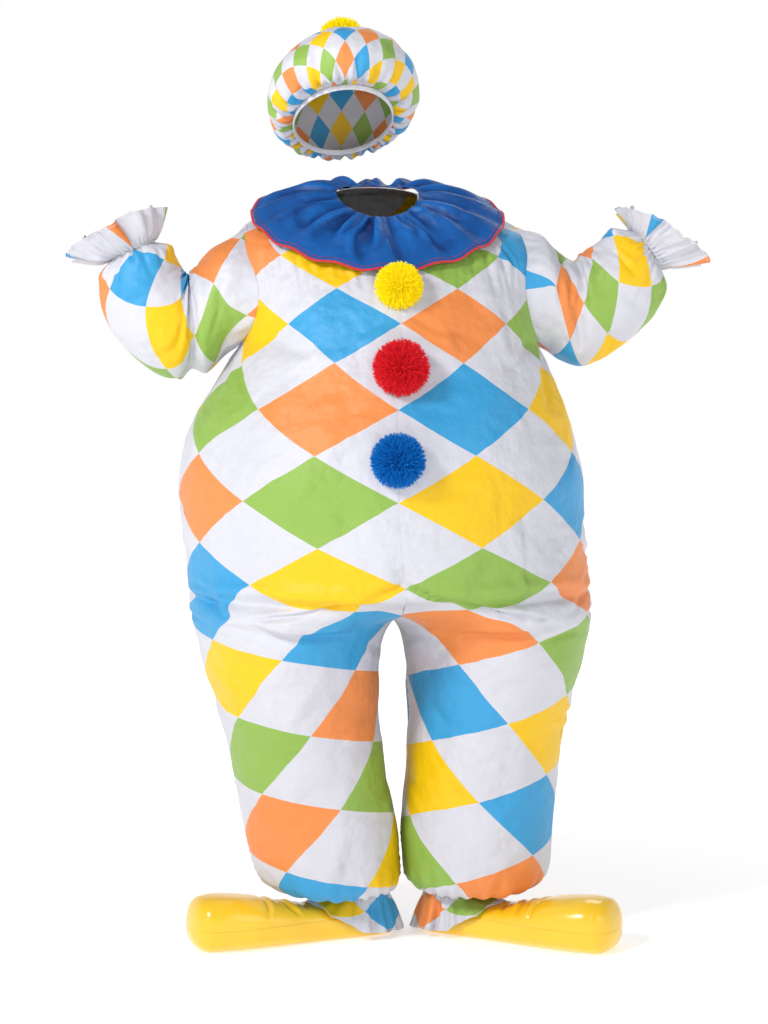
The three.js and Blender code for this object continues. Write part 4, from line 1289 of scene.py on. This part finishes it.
CAP_FOLDS = [  # turn in degrees, profile row, both ends; the gathers are added to these
    (-24, 0.2, -20, 3.2, 6, 4), (-8, 0.2, -5, 2.4, 6, 4), (14, 0.2, 11, 3.0, 6, 4),
    (33, 0.2, 26, 2.2, 6, 5), (52, 0.2, 46, 3.4, 7, 5), (-44, 0.2, -40, 2.6, 6, 5),
    (-62, 0.2, -66, 3.6, 7, 6), (-80, 0.2, -84, 2.8, 7, 6), (74, 0.2, 78, 3.0, 7, 5),
    (96, 0.2, 98, 3.6, 8, 6), (-104, 0.2, -100, 3.4, 8, 6), (124, 0.2, 120, 2.8, 8, 5),
    (-130, 0.2, -134, 3.2, 8, 5), (152, 0.2, 156, 3.4, 8, 6), (-160, 0.2, -156, 3.0, 8, 6),
    (176, 0.2, 176, 2.6, 7, 5), (40, 3.6, 70, 4.6, 10, 3), (-50, 4.0, -20, 5.0, 10, 3),
    (110, 4.2, 140, 3.6, 10, 3), (-120, 4.4, -90, 3.8, 10, 3),
]

# %% Cap
turn, rows = all_round(CAP_TURNS), np.linspace(0, len(CAP_PROFILE) - 1, CAP_ROWS)
relief = creases_round(turn[None, :], rows[:, None], CAP_FOLDS, CAP_PACE, CAP_ROW_PACE)
gather = np.cos(CAP_GATHERS * turn + 1.8 * np.sin(3 * turn) + 1.2 * np.sin(5 * turn + 1))
near_elastic = fade(rows, 0, 0.25) * (1 - fade(rows, 0.6, 2.6))
relief += CAP_GATHER_DEPTH * gather[None, :] * near_elastic[:, None]
ways = [way[None, :] * rows[:, None] * CAP_ROW_PACE for way in (np.sin(turn), np.cos(turn))]
relief += 2.2 * swelling(*ways, 90, 91)
relief *= (fade(rows, 0, 0.3) * (1 - fade(rows, 6.2, 7.6)))[:, None]
smooth = cap_surface(turn[None, :], rows[:, None])
cap_inside = on_head(0, 0, 60)
cap_points = smooth + grid_normals(smooth, cap_inside, True) * relief[..., None]
flat = flat_radius(rows)[:, None]
turns = np.append(turn, FULL_TURN)[None, :]
cap_print = np.stack([CAP_MIDDLE[0] + flat * np.sin(turns) / CAP_PATCH[0],
                      CAP_MIDDLE[1] + flat * np.cos(turns) / CAP_PATCH[1]], axis=-1)
cap = grid_mesh("cap_cloth", cap_points, cap_inside, True, cap_print)
merge_doubles(cap)
finish_piece(cap, printed_cloth, ["cap_crown"], CLOTH_WALL)
print(f"cap: {cloth_area(cap_points):.2f} m2, flat radius {flat.max():.0f} mm")

# %% [markdown]
# ## Elastic of the cap
#
# A covered elastic grips the head under the crown. Its cover is gathered too, so it shows fine
# upright ribs. It closes on itself, so it is a band with a rounded edge, swept like the binding.

# %% Cap band
BAND_WIDTH, BAND_THICKNESS, BAND_TURNS = 10.0, 3.0, 540
BAND_RIBS, RIB_HEIGHT, BAND_SQUARE = 90, 0.7, 0.6  # a lower power squares its section more
turn = all_round(BAND_TURNS)
profile = []
for roll in np.linspace(0, FULL_TURN, 17):
    across = BAND_THICKNESS / 2 * np.sign(math.cos(roll)) * abs(math.cos(roll)) ** BAND_SQUARE
    rise = BAND_WIDTH / 2 * np.sign(math.sin(roll)) * abs(math.sin(roll)) ** BAND_SQUARE
    ribs = RIB_HEIGHT * np.cos(BAND_RIBS * turn + 0.6 * np.sin(7 * turn)) * (across > 0)
    inset = BAND_THICKNESS / 2 - across - ribs
    z = -SEAM_GAP - BAND_WIDTH / 2 + rise
    profile.append(on_head((CAP["half"] - inset) * np.sin(turn),
                           -(CAP["front"] - inset) * np.cos(turn), z + 0 * turn))
band_points = np.stack(profile)
band = grid_mesh("cap_band_elastic", band_points, band_points.mean(axis=0), True)
merge_doubles(band)
finish_piece(band, white_elastic, ["cap_band"])

# %% [markdown]
# ## Pompoms
#
# A pompom is a thick bundle of yarn tied in the middle and cut to a ball, with thousands of
# strand ends. Modelling each by hand is hopeless, but Geometry Nodes does just this: scatter
# points on a small ball, set a tapered strand on each, tilt and scale them at random with a
# fixed seed, and realize them as one mesh. The ball's back is flat, where the pompom is sewn on,
# and grows no yarn.

# %% Geometry Nodes helpers
def add_node(tree, kind, **inputs):
    """A Geometry Nodes node with inputs linked or set by their names."""
    node = tree.nodes.new(kind)
    for key, value in inputs.items():
        socket = node.inputs[key.replace("_", " ")]
        if isinstance(value, bpy.types.NodeSocket):
            tree.links.new(value, socket)
        else:
            socket.default_value = value
    return node


def new_group(name, inputs):
    """An empty geometry node group with the named number inputs."""
    group = bpy.data.node_groups.new(name, "GeometryNodeTree")
    group.interface.new_socket("Geometry", in_out="INPUT", socket_type="NodeSocketGeometry")
    group.interface.new_socket("Geometry", in_out="OUTPUT", socket_type="NodeSocketGeometry")
    for key, (kind, default) in inputs.items():
        socket = group.interface.new_socket(key, in_out="INPUT", socket_type=kind)
        if default is not None:
            socket.default_value = default
    return group, group.nodes.new("NodeGroupInput"), group.nodes.new("NodeGroupOutput")


# %% Node group: yarn
YARN_SEED = 5
STRAND_TAPER = 0.55
STRAND_TILT = (0.5, 0.5, 3.1)  # radians either way
STRAND_SIZES = (0.72, 1.0)


def yarn_group():
    """Scatters tapered strands over the faces that grow yarn."""
    group, given, result = new_group("yarn_ball", {
        "Strand length": ("NodeSocketFloat", 0.015),
        "Strand thickness": ("NodeSocketFloat", 0.0012),
        "Density": ("NodeSocketFloat", 200000.0),
        "Material": ("NodeSocketMaterial", None),
    })
    core = given.outputs["Geometry"]
    grows = add_node(group, "GeometryNodeInputNamedAttribute")
    grows.data_type = "BOOLEAN"
    grows.inputs["Name"].default_value = "grows_yarn"
    scatter = add_node(group, "GeometryNodeDistributePointsOnFaces", Mesh=core, Seed=YARN_SEED,
                       Selection=grows.outputs["Attribute"],
                       Density=given.outputs["Density"])
    strand = add_node(group, "GeometryNodeMeshCone", Vertices=3, Side_Segments=2,
                      Depth=given.outputs["Strand length"],
                      Radius_Bottom=given.outputs["Strand thickness"])
    tip = calc(group, "MULTIPLY", given.outputs["Strand thickness"], STRAND_TAPER)
    group.links.new(tip, strand.inputs["Radius Top"])
    tilt = add_node(group, "FunctionNodeRandomValue", Seed=YARN_SEED + 1)
    tilt.data_type = "FLOAT_VECTOR"
    tilt.inputs[0].default_value = [-most for most in STRAND_TILT]
    tilt.inputs[1].default_value = STRAND_TILT
    turned = add_node(group, "FunctionNodeRotateRotation")
    turned.rotation_space = "LOCAL"
    group.links.new(scatter.outputs["Rotation"], turned.inputs[0])
    group.links.new(tilt.outputs[0], turned.inputs[1])
    size = add_node(group, "FunctionNodeRandomValue", Seed=YARN_SEED + 2)
    size.data_type = "FLOAT"
    size.inputs[2].default_value, size.inputs[3].default_value = STRAND_SIZES
    grown = add_node(group, "GeometryNodeInstanceOnPoints", Points=scatter.outputs["Points"],
                     Instance=strand.outputs["Mesh"], Rotation=turned.outputs[0],
                     Scale=size.outputs[1])
    joined = group.nodes.new("GeometryNodeJoinGeometry")
    group.links.new(core, joined.inputs[0])
    real = add_node(group, "GeometryNodeRealizeInstances", Geometry=grown.outputs[0])
    group.links.new(real.outputs[0], joined.inputs[0])
    painted = add_node(group, "GeometryNodeSetMaterial", Geometry=joined.outputs[0],
                       Material=given.outputs["Material"])
    group.links.new(painted.outputs[0], result.inputs["Geometry"])
    return group


# %% Baking a node group
def baked(piece, group, values):
    """Runs a node group on a mesh object and keeps the result as its plain mesh."""
    modifier = piece.modifiers.new("nodes", "NODES")
    modifier.node_group = group
    for socket in group.interface.items_tree:
        if socket.item_type == "SOCKET" and socket.name in values:
            modifier[socket.identifier] = values[socket.name]
    graph = bpy.context.evaluated_depsgraph_get()
    graph.update()
    mesh = bpy.data.meshes.new_from_object(piece.evaluated_get(graph))
    piece.modifiers.remove(modifier)
    piece.data = mesh
    return piece


# %% Yarn materials
YARN_PAINTED_GLOW = 0.06  # painted light: the yarn glows faintly in its own colour, in place of light scattered from strand to strand


def yarn_material(name, colour, deep):
    """Matt yarn, darker between the strands, with the twist of its fibres and a faint painted
    glow in its own colour.
    """
    material, tree, shader = new_material(
        name, 0.9, Specular_IOR_Level=0.08, Emission_Strength=YARN_PAINTED_GLOW,
        Emission_Color=linear(colour))
    share = calc(tree, "MULTIPLY", noise(tree, 160.0, 3.0), 0.6)
    tree.links.new(
        mix_colours(tree, share, linear(colour), linear(deep)), shader.inputs["Base Color"])
    tree.links.new(bump(tree, noise(tree, 1600.0, 2.0), 0.5, 0.0004), shader.inputs["Normal"])
    return material


YARNS = {
    "yellow": yarn_material("yellow_yarn", 0xFFF21E, 0xFFDC00),
    "red": yarn_material("red_yarn", 0xEC2C38, 0xC81420),
    "blue": yarn_material("blue_yarn", 0x1880D0, 0x0660B0),
}

# %% Pompoms
POMPOM_SEAT = 0.4  # share of the radius from the centre to the flat back
POMPOM_CORE = 0.72  # the core's radius as a share of the pompom's
POMPOM_STRANDS = 2800  # on a whole ball
BODY_POMPOMS = (("pompom_yellow", 1243, 37, "yellow"), ("pompom_red", 1088, 43, "red"),
                ("pompom_blue", 927, 41, "blue"))
CAP_POMPOM_RADIUS = 38
yarn_ball = yarn_group()


def pompom(name, seat, normal, radius, yarn):
    """A yarn ball whose flat back lies on a plane at seat."""
    work = bmesh.new()
    bmesh.ops.create_icosphere(work, subdivisions=4, radius=POMPOM_CORE * radius)
    flat = -POMPOM_SEAT * radius
    grows = work.faces.layers.bool.new("grows_yarn")
    for face in work.faces:
        face[grows] = face.calc_center_median().z > 0.9 * flat
        face.smooth = True
    turn = Vector((0, 0, 1)).rotation_difference(Vector(normal)).to_matrix()
    for vertex in work.verts:
        vertex.co.z = max(vertex.co.z, flat) - flat + SEAM_GAP
        vertex.co = Vector(in_frame(np.array(turn @ vertex.co) + seat))
    mesh = bpy.data.meshes.new(name)
    work.to_mesh(mesh)
    work.free()
    piece = placed(f"{name}_yarn", mesh)
    strand = (1 - POMPOM_CORE) * radius * 2.0 * MM  # half of it stands in the core
    core_area = FULL_TURN * 2 * (POMPOM_CORE * radius * MM) ** 2
    baked(piece, yarn_ball, {"Strand length": strand, "Material": YARNS[yarn],
                             "Density": POMPOM_STRANDS / core_area})
    finish_piece(piece, YARNS[yarn], [name])
    print(f"{name}: {len(piece.data.polygons)} faces of yarn")


for name, level, radius, yarn in BODY_POMPOMS:
    around = body_point(LEFT, math.pi / 2 + np.array([-0.02, 0.0, 0.02]), level)
    along = body_point(LEFT, math.pi / 2, np.array([level - 2.0, level + 2.0]))
    normal = np.cross(around[2] - around[0], along[1] - along[0])
    normal *= -np.sign(normal[1]) / np.linalg.norm(normal)
    pompom(name, around[1], normal, radius, yarn)
pompom("cap_pompom", on_head(0, 0, CAP["top"]), cap_turned[:, 2], CAP_POMPOM_RADIUS, "yellow")

# %% [markdown]
# ## Overshoes
#
# The shoes are moulded in glossy vinyl: a long vamp that swells into a big round toe over a flat
# sole. Sections along the foot are squared ovals. We loft one closed form, cut it at the mould
# line into the upper and the sole, and open the upper for the foot.

# %% Shoe measures
ANKLE_X, ANKLE_LEAN = 90, 44
TURN_OUT = {RIGHT: math.radians(72), LEFT: math.radians(56)}
SHOE_SECTIONS = (  # from the ankle, half the width, the height
    (-61, 14, 44), (-54, 29, 53), (-34, 42, 58), (0, 46, 60), (60, 49, 63), (125, 55, 70),
    (190, 64, 84), (250, 69, 96), (300, 66, 100), (333, 52, 93), (348, 26, 74),
)
SHOE = {"square": 2.7, "widest": 0.42, "flat": 4, "sole": 43, "hole_x": 40, "hole_y": 33}
SHOE_TURNS, SHOE_ROWS, END_ROWS = 96, 96, 7
VAMP_PACE = 0.9  # mm for each degree round the shoe, for its creases
TOE_START, TOE_DEPTH = 316.0, 34.0  # where the toe starts to close, and over what length
VINYL_WALL = 2.4
sections = np.array(SHOE_SECTIONS, float)
shoe_half = smooth_curve(sections[:, 0], sections[:, 1])
shoe_height = smooth_curve(sections[:, 0], sections[:, 2])


def foot_heading(side):
    """The way a toe points, as a turn from +X."""
    return -math.pi / 2 + side * TURN_OUT[side]


def on_foot(side, x, y, z):
    """From a shoe's own frame, toe along +X, to where the foot stands."""
    x, y, z = np.broadcast_arrays(x, y, z)
    cos, sin = math.cos(foot_heading(side)), math.sin(foot_heading(side))
    return np.stack([x * cos - y * sin + ANKLE_LEAN + side * ANKLE_X, x * sin + y * cos, z],
                    axis=-1)


def squared(value):
    """Turns a sine or cosine into that of a squared oval."""
    return np.sign(value) * np.abs(value) ** (2 / SHOE["square"])


# %% Shoe form
VAMP_CREASES = {  # along the foot, turn in degrees (90 is the top)
    RIGHT: [(214, 20, 200, 128, 4, 5.5), (148, 30, 162, 130, 5, 6.0), (180, 60, 172, 134, 4, 3.2),
            (120, 50, 112, 124, 5, 3.6), (232, 100, 222, 160, 4, 3.4)],
    LEFT: [(206, 60, 196, 164, 4, 4.6), (150, 54, 162, 152, 5, 5.6), (176, 40, 182, 126, 4, 3.2),
           (116, 60, 124, 140, 5, 3.8), (236, 20, 226, 80, 4, 3.4)],
}


def shoe_grid(side):
    """The closed form as a grid: rows along the foot, columns round it.

    The first row closes the heel in a point, and the last rows round the toe off.
    """
    first, last = sections[0, 0], TOE_START + TOE_DEPTH
    along = np.concatenate([
        np.full(1, first), np.linspace(first, sections[1, 0], END_ROWS)[1:],
        np.linspace(sections[1, 0], TOE_START, SHOE_ROWS)[1:],
        np.full(2 * END_ROWS, TOE_START)])
    shrink = np.ones_like(along)
    shrink[0] = 0
    close = np.linspace(0, math.pi / 2, 2 * END_ROWS + 1)[1:]
    shrink[-2 * END_ROWS:] = np.cos(close)
    toe = np.zeros_like(along)
    toe[-2 * END_ROWS:] = TOE_DEPTH * np.sin(close)
    turn = all_round(SHOE_TURNS)
    half = (shoe_half(along) * shrink)[:, None]
    height = shoe_height(along)[:, None]
    middle = SHOE["widest"] * height
    rise = squared(np.sin(turn))[None, :] * shrink[:, None]
    up, down = height - middle, middle + SHOE["flat"]
    z = np.maximum(middle + rise * np.where(rise > 0, up, down), 0)
    along = along + toe
    table = [(x0, t0 * VAMP_PACE, x1, t1 * VAMP_PACE, width, depth)
             for x0, t0, x1, t1, width, depth in VAMP_CREASES[side]]
    points = on_foot(side, along[:, None], half * squared(np.cos(turn))[None, :], z)
    inside = on_foot(side, along[:, None], 0.0, middle)
    relief = creases(along[:, None], np.degrees(turn)[None, :] * VAMP_PACE, table)
    relief += 0.5 * swelling(along[:, None], np.degrees(turn)[None, :], 70, 7 + side)
    relief *= (fade(along, first, first + 12) * fade(along, last, last - 30))[:, None]
    relief = relief * fade(z, 26, SHOE["sole"] + 1)  # the sole stays smooth
    return points + grid_normals(points, inside, True) * relief[..., None], inside


# %% Cutting the shoe
RAGGED = 1.25  # the hole's ragged edge reaches this many times its size


def cut_level(piece, level, keep_above):
    """Cuts a mesh at a height in millimetres and keeps one half, open at the cut."""
    height = in_frame((0, 0, level))[2]
    with edited(piece) as work:
        everything = work.verts[:] + work.edges[:] + work.faces[:]
        bmesh.ops.bisect_plane(work, geom=everything, plane_co=(0, 0, height),
                               plane_no=(0, 0, 1), clear_inner=keep_above,
                               clear_outer=not keep_above)


def open_for_foot(piece, side):
    """Cuts the oval hole for the foot out of the upper's top."""
    back = Matrix.Rotation(-foot_heading(side), 3, "Z")
    ankle = Vector(((ANKLE_LEAN + side * ANKLE_X) * MM, 0, 0))

    def off_hole(point):
        """How far a point lies from the hole's middle, 1 at its edge."""
        local = back @ (point - ankle)
        return math.hypot(local.x / (SHOE["hole_x"] * MM), local.y / (SHOE["hole_y"] * MM))

    floor_z = in_frame((0, 0, SHOE["sole"] + 2))[2]
    with edited(piece) as work:
        middles = {face: face.calc_center_median() for face in work.faces}
        gone = [face for face, middle in middles.items()
                if middle.z > floor_z and off_hole(middle) < 1]
        bmesh.ops.delete(work, geom=gone, context="FACES")
        for vertex in work.verts:  # the ragged edge is pulled onto the oval
            distance = off_hole(vertex.co)
            if vertex.is_boundary and vertex.co.z > floor_z and distance < RAGGED:
                flat = (vertex.co - ankle) / max(distance, 0.2)
                vertex.co.x, vertex.co.y = (flat + ankle).x, (flat + ankle).y


# %% [markdown]
# ## Vinyl
#
# Moulded vinyl has a smooth coat over a faint pebble, so the highlight is sharp but its edge
# trembles a little. The colour drifts softly towards orange, as the vinyl's thickness does.

# %% Vinyl
def vinyl_material():
    """Coated vinyl with a fine pebble over soft waves."""
    material, tree, shader = new_material(
        "yellow_vinyl", 0.3, Coat_Weight=0.6, Coat_Roughness=0.08, Specular_IOR_Level=0.5)
    share = noise(tree, 9.0, 3.0)
    tree.links.new(
        mix_colours(tree, share, linear(0xFAD022), linear(0xF0B814)),
        shader.inputs["Base Color"])
    pebble = bump(tree, noise(tree, 420.0, 2.0), 0.12, 0.0006)
    tree.links.new(bump(tree, noise(tree, 26.0, 3.0), 0.25, 0.002, pebble),
                   shader.inputs["Normal"])
    return material


# %% Shoes
yellow_vinyl = vinyl_material()
for side, name in SIDE_NAMES.items():
    points, inside = shoe_grid(side)
    for part, above in (("upper", True), ("sole", False)):
        piece = grid_mesh(f"shoe_{part}_{name}_vinyl", points, inside, True)
        merge_doubles(piece)
        cut_level(piece, SHOE["sole"] - (0 if above else SEAM_GAP), above)
        if above:
            open_for_foot(piece, side)
        finish_piece(piece, yellow_vinyl, [f"shoe_{part}_{name}"], VINYL_WALL)
        print(f"shoe_{part}_{name}: {len(piece.data.polygons)} faces")

# %% [markdown]
# ## Ankle frills
#
# Below the ankle elastic the leg ends in a frill like the wrists', but it falls over a shoe:
# at the heel it hangs down, and in front it is pushed up and lies on the vamp.

# %% Ankle frills
ANKLE_COLUMNS = ("toe", "side", "heel", "toe_level", "side_level", "heel_level", "ruffle")
ANKLE_RINGS = (
    (49, 49, 49, 92.3, 92.3, 92.3, 0), (56, 52, 52, 83, 84, 84, 1),
    (84, 61, 68, 75, 52, 50, 3), (110, 71, 80, 70.9, 14, 9, 5),
)
ANKLE_WAVES, ANKLE_ROWS = 10, FRILL_ROWS + 6
ANKLE_FRILL_CUT = (0.52, 0.1)
ANKLE_PRINT = {  # column at the toe's turn, columns all round, rows at the elastic and the hem
    RIGHT: (1.83, -4, 2.95, 3.95),
    LEFT: (1.83, 4, 1.95, 2.95),
}


def ankle_frill(side):
    """A frill's points, the points inside it and its places in the print."""
    turn = all_round(FRILL_TURNS)
    toe = np.maximum(np.cos(turn), 0) ** 2
    heel = np.maximum(-np.cos(turn), 0) ** 2
    flank = 1 - toe - heel
    stack = []
    for row in ANKLE_RINGS:
        ring = dict(zip(ANKLE_COLUMNS, row))
        reach = toe * ring["toe"] + heel * ring["heel"] + flank * ring["side"]
        reach = reach + ring["ruffle"] * np.cos(ANKLE_WAVES * turn)
        level = (toe * ring["toe_level"] + heel * ring["heel_level"]
                 + flank * ring["side_level"])
        stack.append(on_foot(side, reach * np.cos(turn), reach * np.sin(turn), level))
    out = np.linspace(0, 1, ANKLE_ROWS)
    smooth = smooth_curve((0, 0.15, 0.58, 1), np.stack(stack))(out)
    inside = smooth.mean(axis=1, keepdims=True)
    inside[..., 2] = 40
    normals = grid_normals(smooth, inside, True)
    relief = ruffle(turn[None, :], out[:, None], 2 * ANKLE_WAVES - 3, 4.5, 101 + side)
    relief += elastic_gathers(turn, out, 34, depth=3.0, place=0.14, reach=0.14)
    relief *= fade(out, 0, 0.1)[:, None] * (1 - 0.75 * toe)[None, :]
    points = smooth + normals * relief[..., None]
    start, columns, top_row, hem_row = ANKLE_PRINT[side]
    turns = np.append(turn, FULL_TURN)[None, :]
    print_at = np.stack(np.broadcast_arrays(
        start + columns * turns / FULL_TURN,
        top_row + (hem_row - top_row) * out[:, None]), axis=-1)
    return points, inside, print_at


for side, name in SIDE_NAMES.items():
    frills["ankle", side] = ankle_frill(side)
    printed_piece(f"ankle_frill_{name}", frills["ankle", side], ANKLE_FRILL_CUT, "gathered",
                  FRILL_WALL, around=True)


# %% [markdown]
# ## Stitches
#
# Thread is the last detail. Every hem carries a row of stitches and every elastic two: a curve
# is walked in equal steps, each step gets a short length of thread turned along the curve, and
# all of them are realized as one mesh.

# %% Node group: stitches
def stitch_group():
    """Sets a stitch at equal steps along every line of a mesh of edges."""
    group, given, result = new_group("stitch_row", {
        "Spacing": ("NodeSocketFloat", 0.004),
        "Stitch length": ("NodeSocketFloat", 0.0028),
        "Material": ("NodeSocketMaterial", None),
    })
    curve = add_node(group, "GeometryNodeMeshToCurve", Mesh=given.outputs["Geometry"])
    steps = group.nodes.new("GeometryNodeCurveToPoints")
    steps.mode = "LENGTH"
    group.links.new(curve.outputs[0], steps.inputs["Curve"])
    group.links.new(given.outputs["Spacing"], steps.inputs["Length"])
    stitch = add_node(group, "GeometryNodeMeshCylinder", Vertices=5, Radius=0.0005,
                      Depth=given.outputs["Stitch length"])
    grown = add_node(group, "GeometryNodeInstanceOnPoints", Points=steps.outputs["Points"],
                     Instance=stitch.outputs["Mesh"], Rotation=steps.outputs["Rotation"])
    real = add_node(group, "GeometryNodeRealizeInstances", Geometry=grown.outputs[0])
    painted = add_node(group, "GeometryNodeSetMaterial", Geometry=real.outputs[0],
                       Material=given.outputs["Material"])
    group.links.new(painted.outputs[0], result.inputs["Geometry"])
    return group


stitch_row = stitch_group()


def stitches(name, lines, material, spacing=4.0, length=2.8):
    """Rows of stitches along closed lines of points."""
    points, edges = [], []
    for line in lines:
        first, count = len(points), len(line)
        points.extend(map(tuple, in_frame(line)))
        edges.extend((first + k, first + (k + 1) % count) for k in range(count))
    mesh = bpy.data.meshes.new(name)
    mesh.from_pydata(points, edges, [])
    piece = placed(name, mesh)
    baked(piece, stitch_row, {"Spacing": spacing * MM, "Stitch length": length * MM,
                              "Material": material})
    finish_piece(piece, material)
    print(f"{name}: {len(piece.data.polygons)} faces")


# %% Stitches
def lifted(grid, normals, row, lift):
    """One row of a piece's points, raised off it."""
    return grid[row] + normals[row] * lift


stitches("collar_stitches", [lifted(collar_points, collar_normals, -2, FRILL_WALL + 0.2)],
         red_thread, 3.6, 2.6)
for side, name in SIDE_NAMES.items():
    for kind in ("wrist", "ankle"):
        points, inside, _ = frills[kind, side]
        normals = grid_normals(points, inside, True)
        hem = [lifted(points, normals, -2, 0.1)]
        elastic = [lifted(points, normals, row, 0.2) for row in (2, 4)]
        stitches(f"{kind}_hem_stitches_{name}", hem, white_thread, 3.0, 2.2)
        stitches(f"{kind}_elastic_stitches_{name}", elastic, white_thread, 3.4)

# %% [markdown]
# ## The stage
#
# A plain white floor and a white sky give the soft even light of a studio. The sky is white
# round the horizon and dims overhead, so that folds keep their shade, and the floor glows more
# with distance until it runs into the sky. One lamp in front and above to the left shapes the
# folds, and two weaker ones fill in the rest.

# %% Stage
FLOOR_WHITE = 0.86
FLOOR_GLOW = (("From Min", 0.8), ("From Max", 2.7), ("To Min", 0.3), ("To Max", 0.75))


def floor():
    """A wide floor that glows a little far away, so that it runs into the white behind."""
    mesh = bpy.data.meshes.new("floor")
    size, low = 14.0, -SHOULDER_HEIGHT * MM - 0.001
    corners = [(-size, -size, low), (size, -size, low), (size, size, low), (-size, size, low)]
    mesh.from_pydata(corners, [], [(0, 1, 2, 3)])
    plane = placed("floor", mesh)
    material, tree, shader = new_material("floor_white", 0.6, Specular_IOR_Level=0.1)
    shader.inputs["Base Color"].default_value = (FLOOR_WHITE, FLOOR_WHITE, FLOOR_WHITE, 1)
    shader.inputs["Emission Color"].default_value = (1, 1, 1, 1)
    place = tree.nodes.new("ShaderNodeTexCoord")
    far = tree.nodes.new("ShaderNodeVectorMath")
    far.operation = "LENGTH"
    tree.links.new(place.outputs["Object"], far.inputs[0])
    glow = tree.nodes.new("ShaderNodeMapRange")
    for socket, value in FLOOR_GLOW:
        glow.inputs[socket].default_value = value
    tree.links.new(far.outputs["Value"], glow.inputs["Value"])
    tree.links.new(glow.outputs[0], shader.inputs["Emission Strength"])
    mesh.materials.append(material)


# %% Lamps
def lamp(name, place, aim, size, power):
    """A square lamp turned to its aim."""
    light = bpy.data.lights.new(name, "AREA")
    light.shape = "SQUARE"
    light.size = size
    light.energy = power
    lit = placed(name, light)
    lit.location = place
    lit.rotation_euler = (Vector(aim) - Vector(place)).to_track_quat("-Z", "Y").to_euler()


CHEST = (0.0, 0.0, -0.5)
floor()
lamp("key", (-3.2, -3.2, 2.2), CHEST, 1.0, 165)
lamp("fill", (3.2, -3.6, 0.8), CHEST, 2.4, 26)
lamp("rim", (1.5, 3.6, 2.6), CHEST, 2.0, 30)

# %% Sky
SKY_HEIGHTS = (0.22, 0.5)  # where it starts to dim and where it is dimmest
SKY_COLOURS = ((1, 1, 1, 1), (0.3, 0.3, 0.32, 1))
world = bpy.data.worlds.new("white_room")
world.use_nodes = True
room = world.node_tree
way = room.nodes.new("ShaderNodeTexCoord")
split = room.nodes.new("ShaderNodeSeparateXYZ")
room.links.new(way.outputs["Generated"], split.inputs[0])
ramp = room.nodes.new("ShaderNodeValToRGB")
room.links.new(split.outputs[2], ramp.inputs[0])
for stop, height, colour in zip(ramp.color_ramp.elements, SKY_HEIGHTS, SKY_COLOURS):
    stop.position, stop.color = height, colour
sky = room.nodes["Background"]
room.links.new(ramp.outputs[0], sky.inputs["Color"])
sky.inputs["Strength"].default_value = 1.0
bpy.context.scene.world = world

# %% [markdown]
# ## The camera
#
# A portrait lens stands far enough away that the legs and the cap keep their proportions: 85 mm,
# 4.64 m from the costume and 1.1 m above the floor, a few degrees round to its right side.

# %% Camera
LENS, SENSOR = 85.0, 36.0
DISTANCE, CAMERA_HEIGHT, AIM_HEIGHT = 4.64, 1.10, 0.818
ROUND = math.radians(5)
AIM = Vector((0.0, 0.0, AIM_HEIGHT - SHOULDER_HEIGHT * MM))

camera_data = bpy.data.cameras.new("camera")
camera_data.lens = LENS
camera_data.sensor_width = SENSOR
camera_data.sensor_fit = "AUTO"
camera = placed("camera", camera_data)
camera.location = (
    -DISTANCE * math.sin(ROUND), -DISTANCE * math.cos(ROUND),
    CAMERA_HEIGHT - SHOULDER_HEIGHT * MM,
)
camera.rotation_euler = (AIM - camera.location).to_track_quat("-Z", "Y").to_euler()
bpy.context.scene.camera = camera
bpy.context.scene.view_settings.view_transform = "Standard"
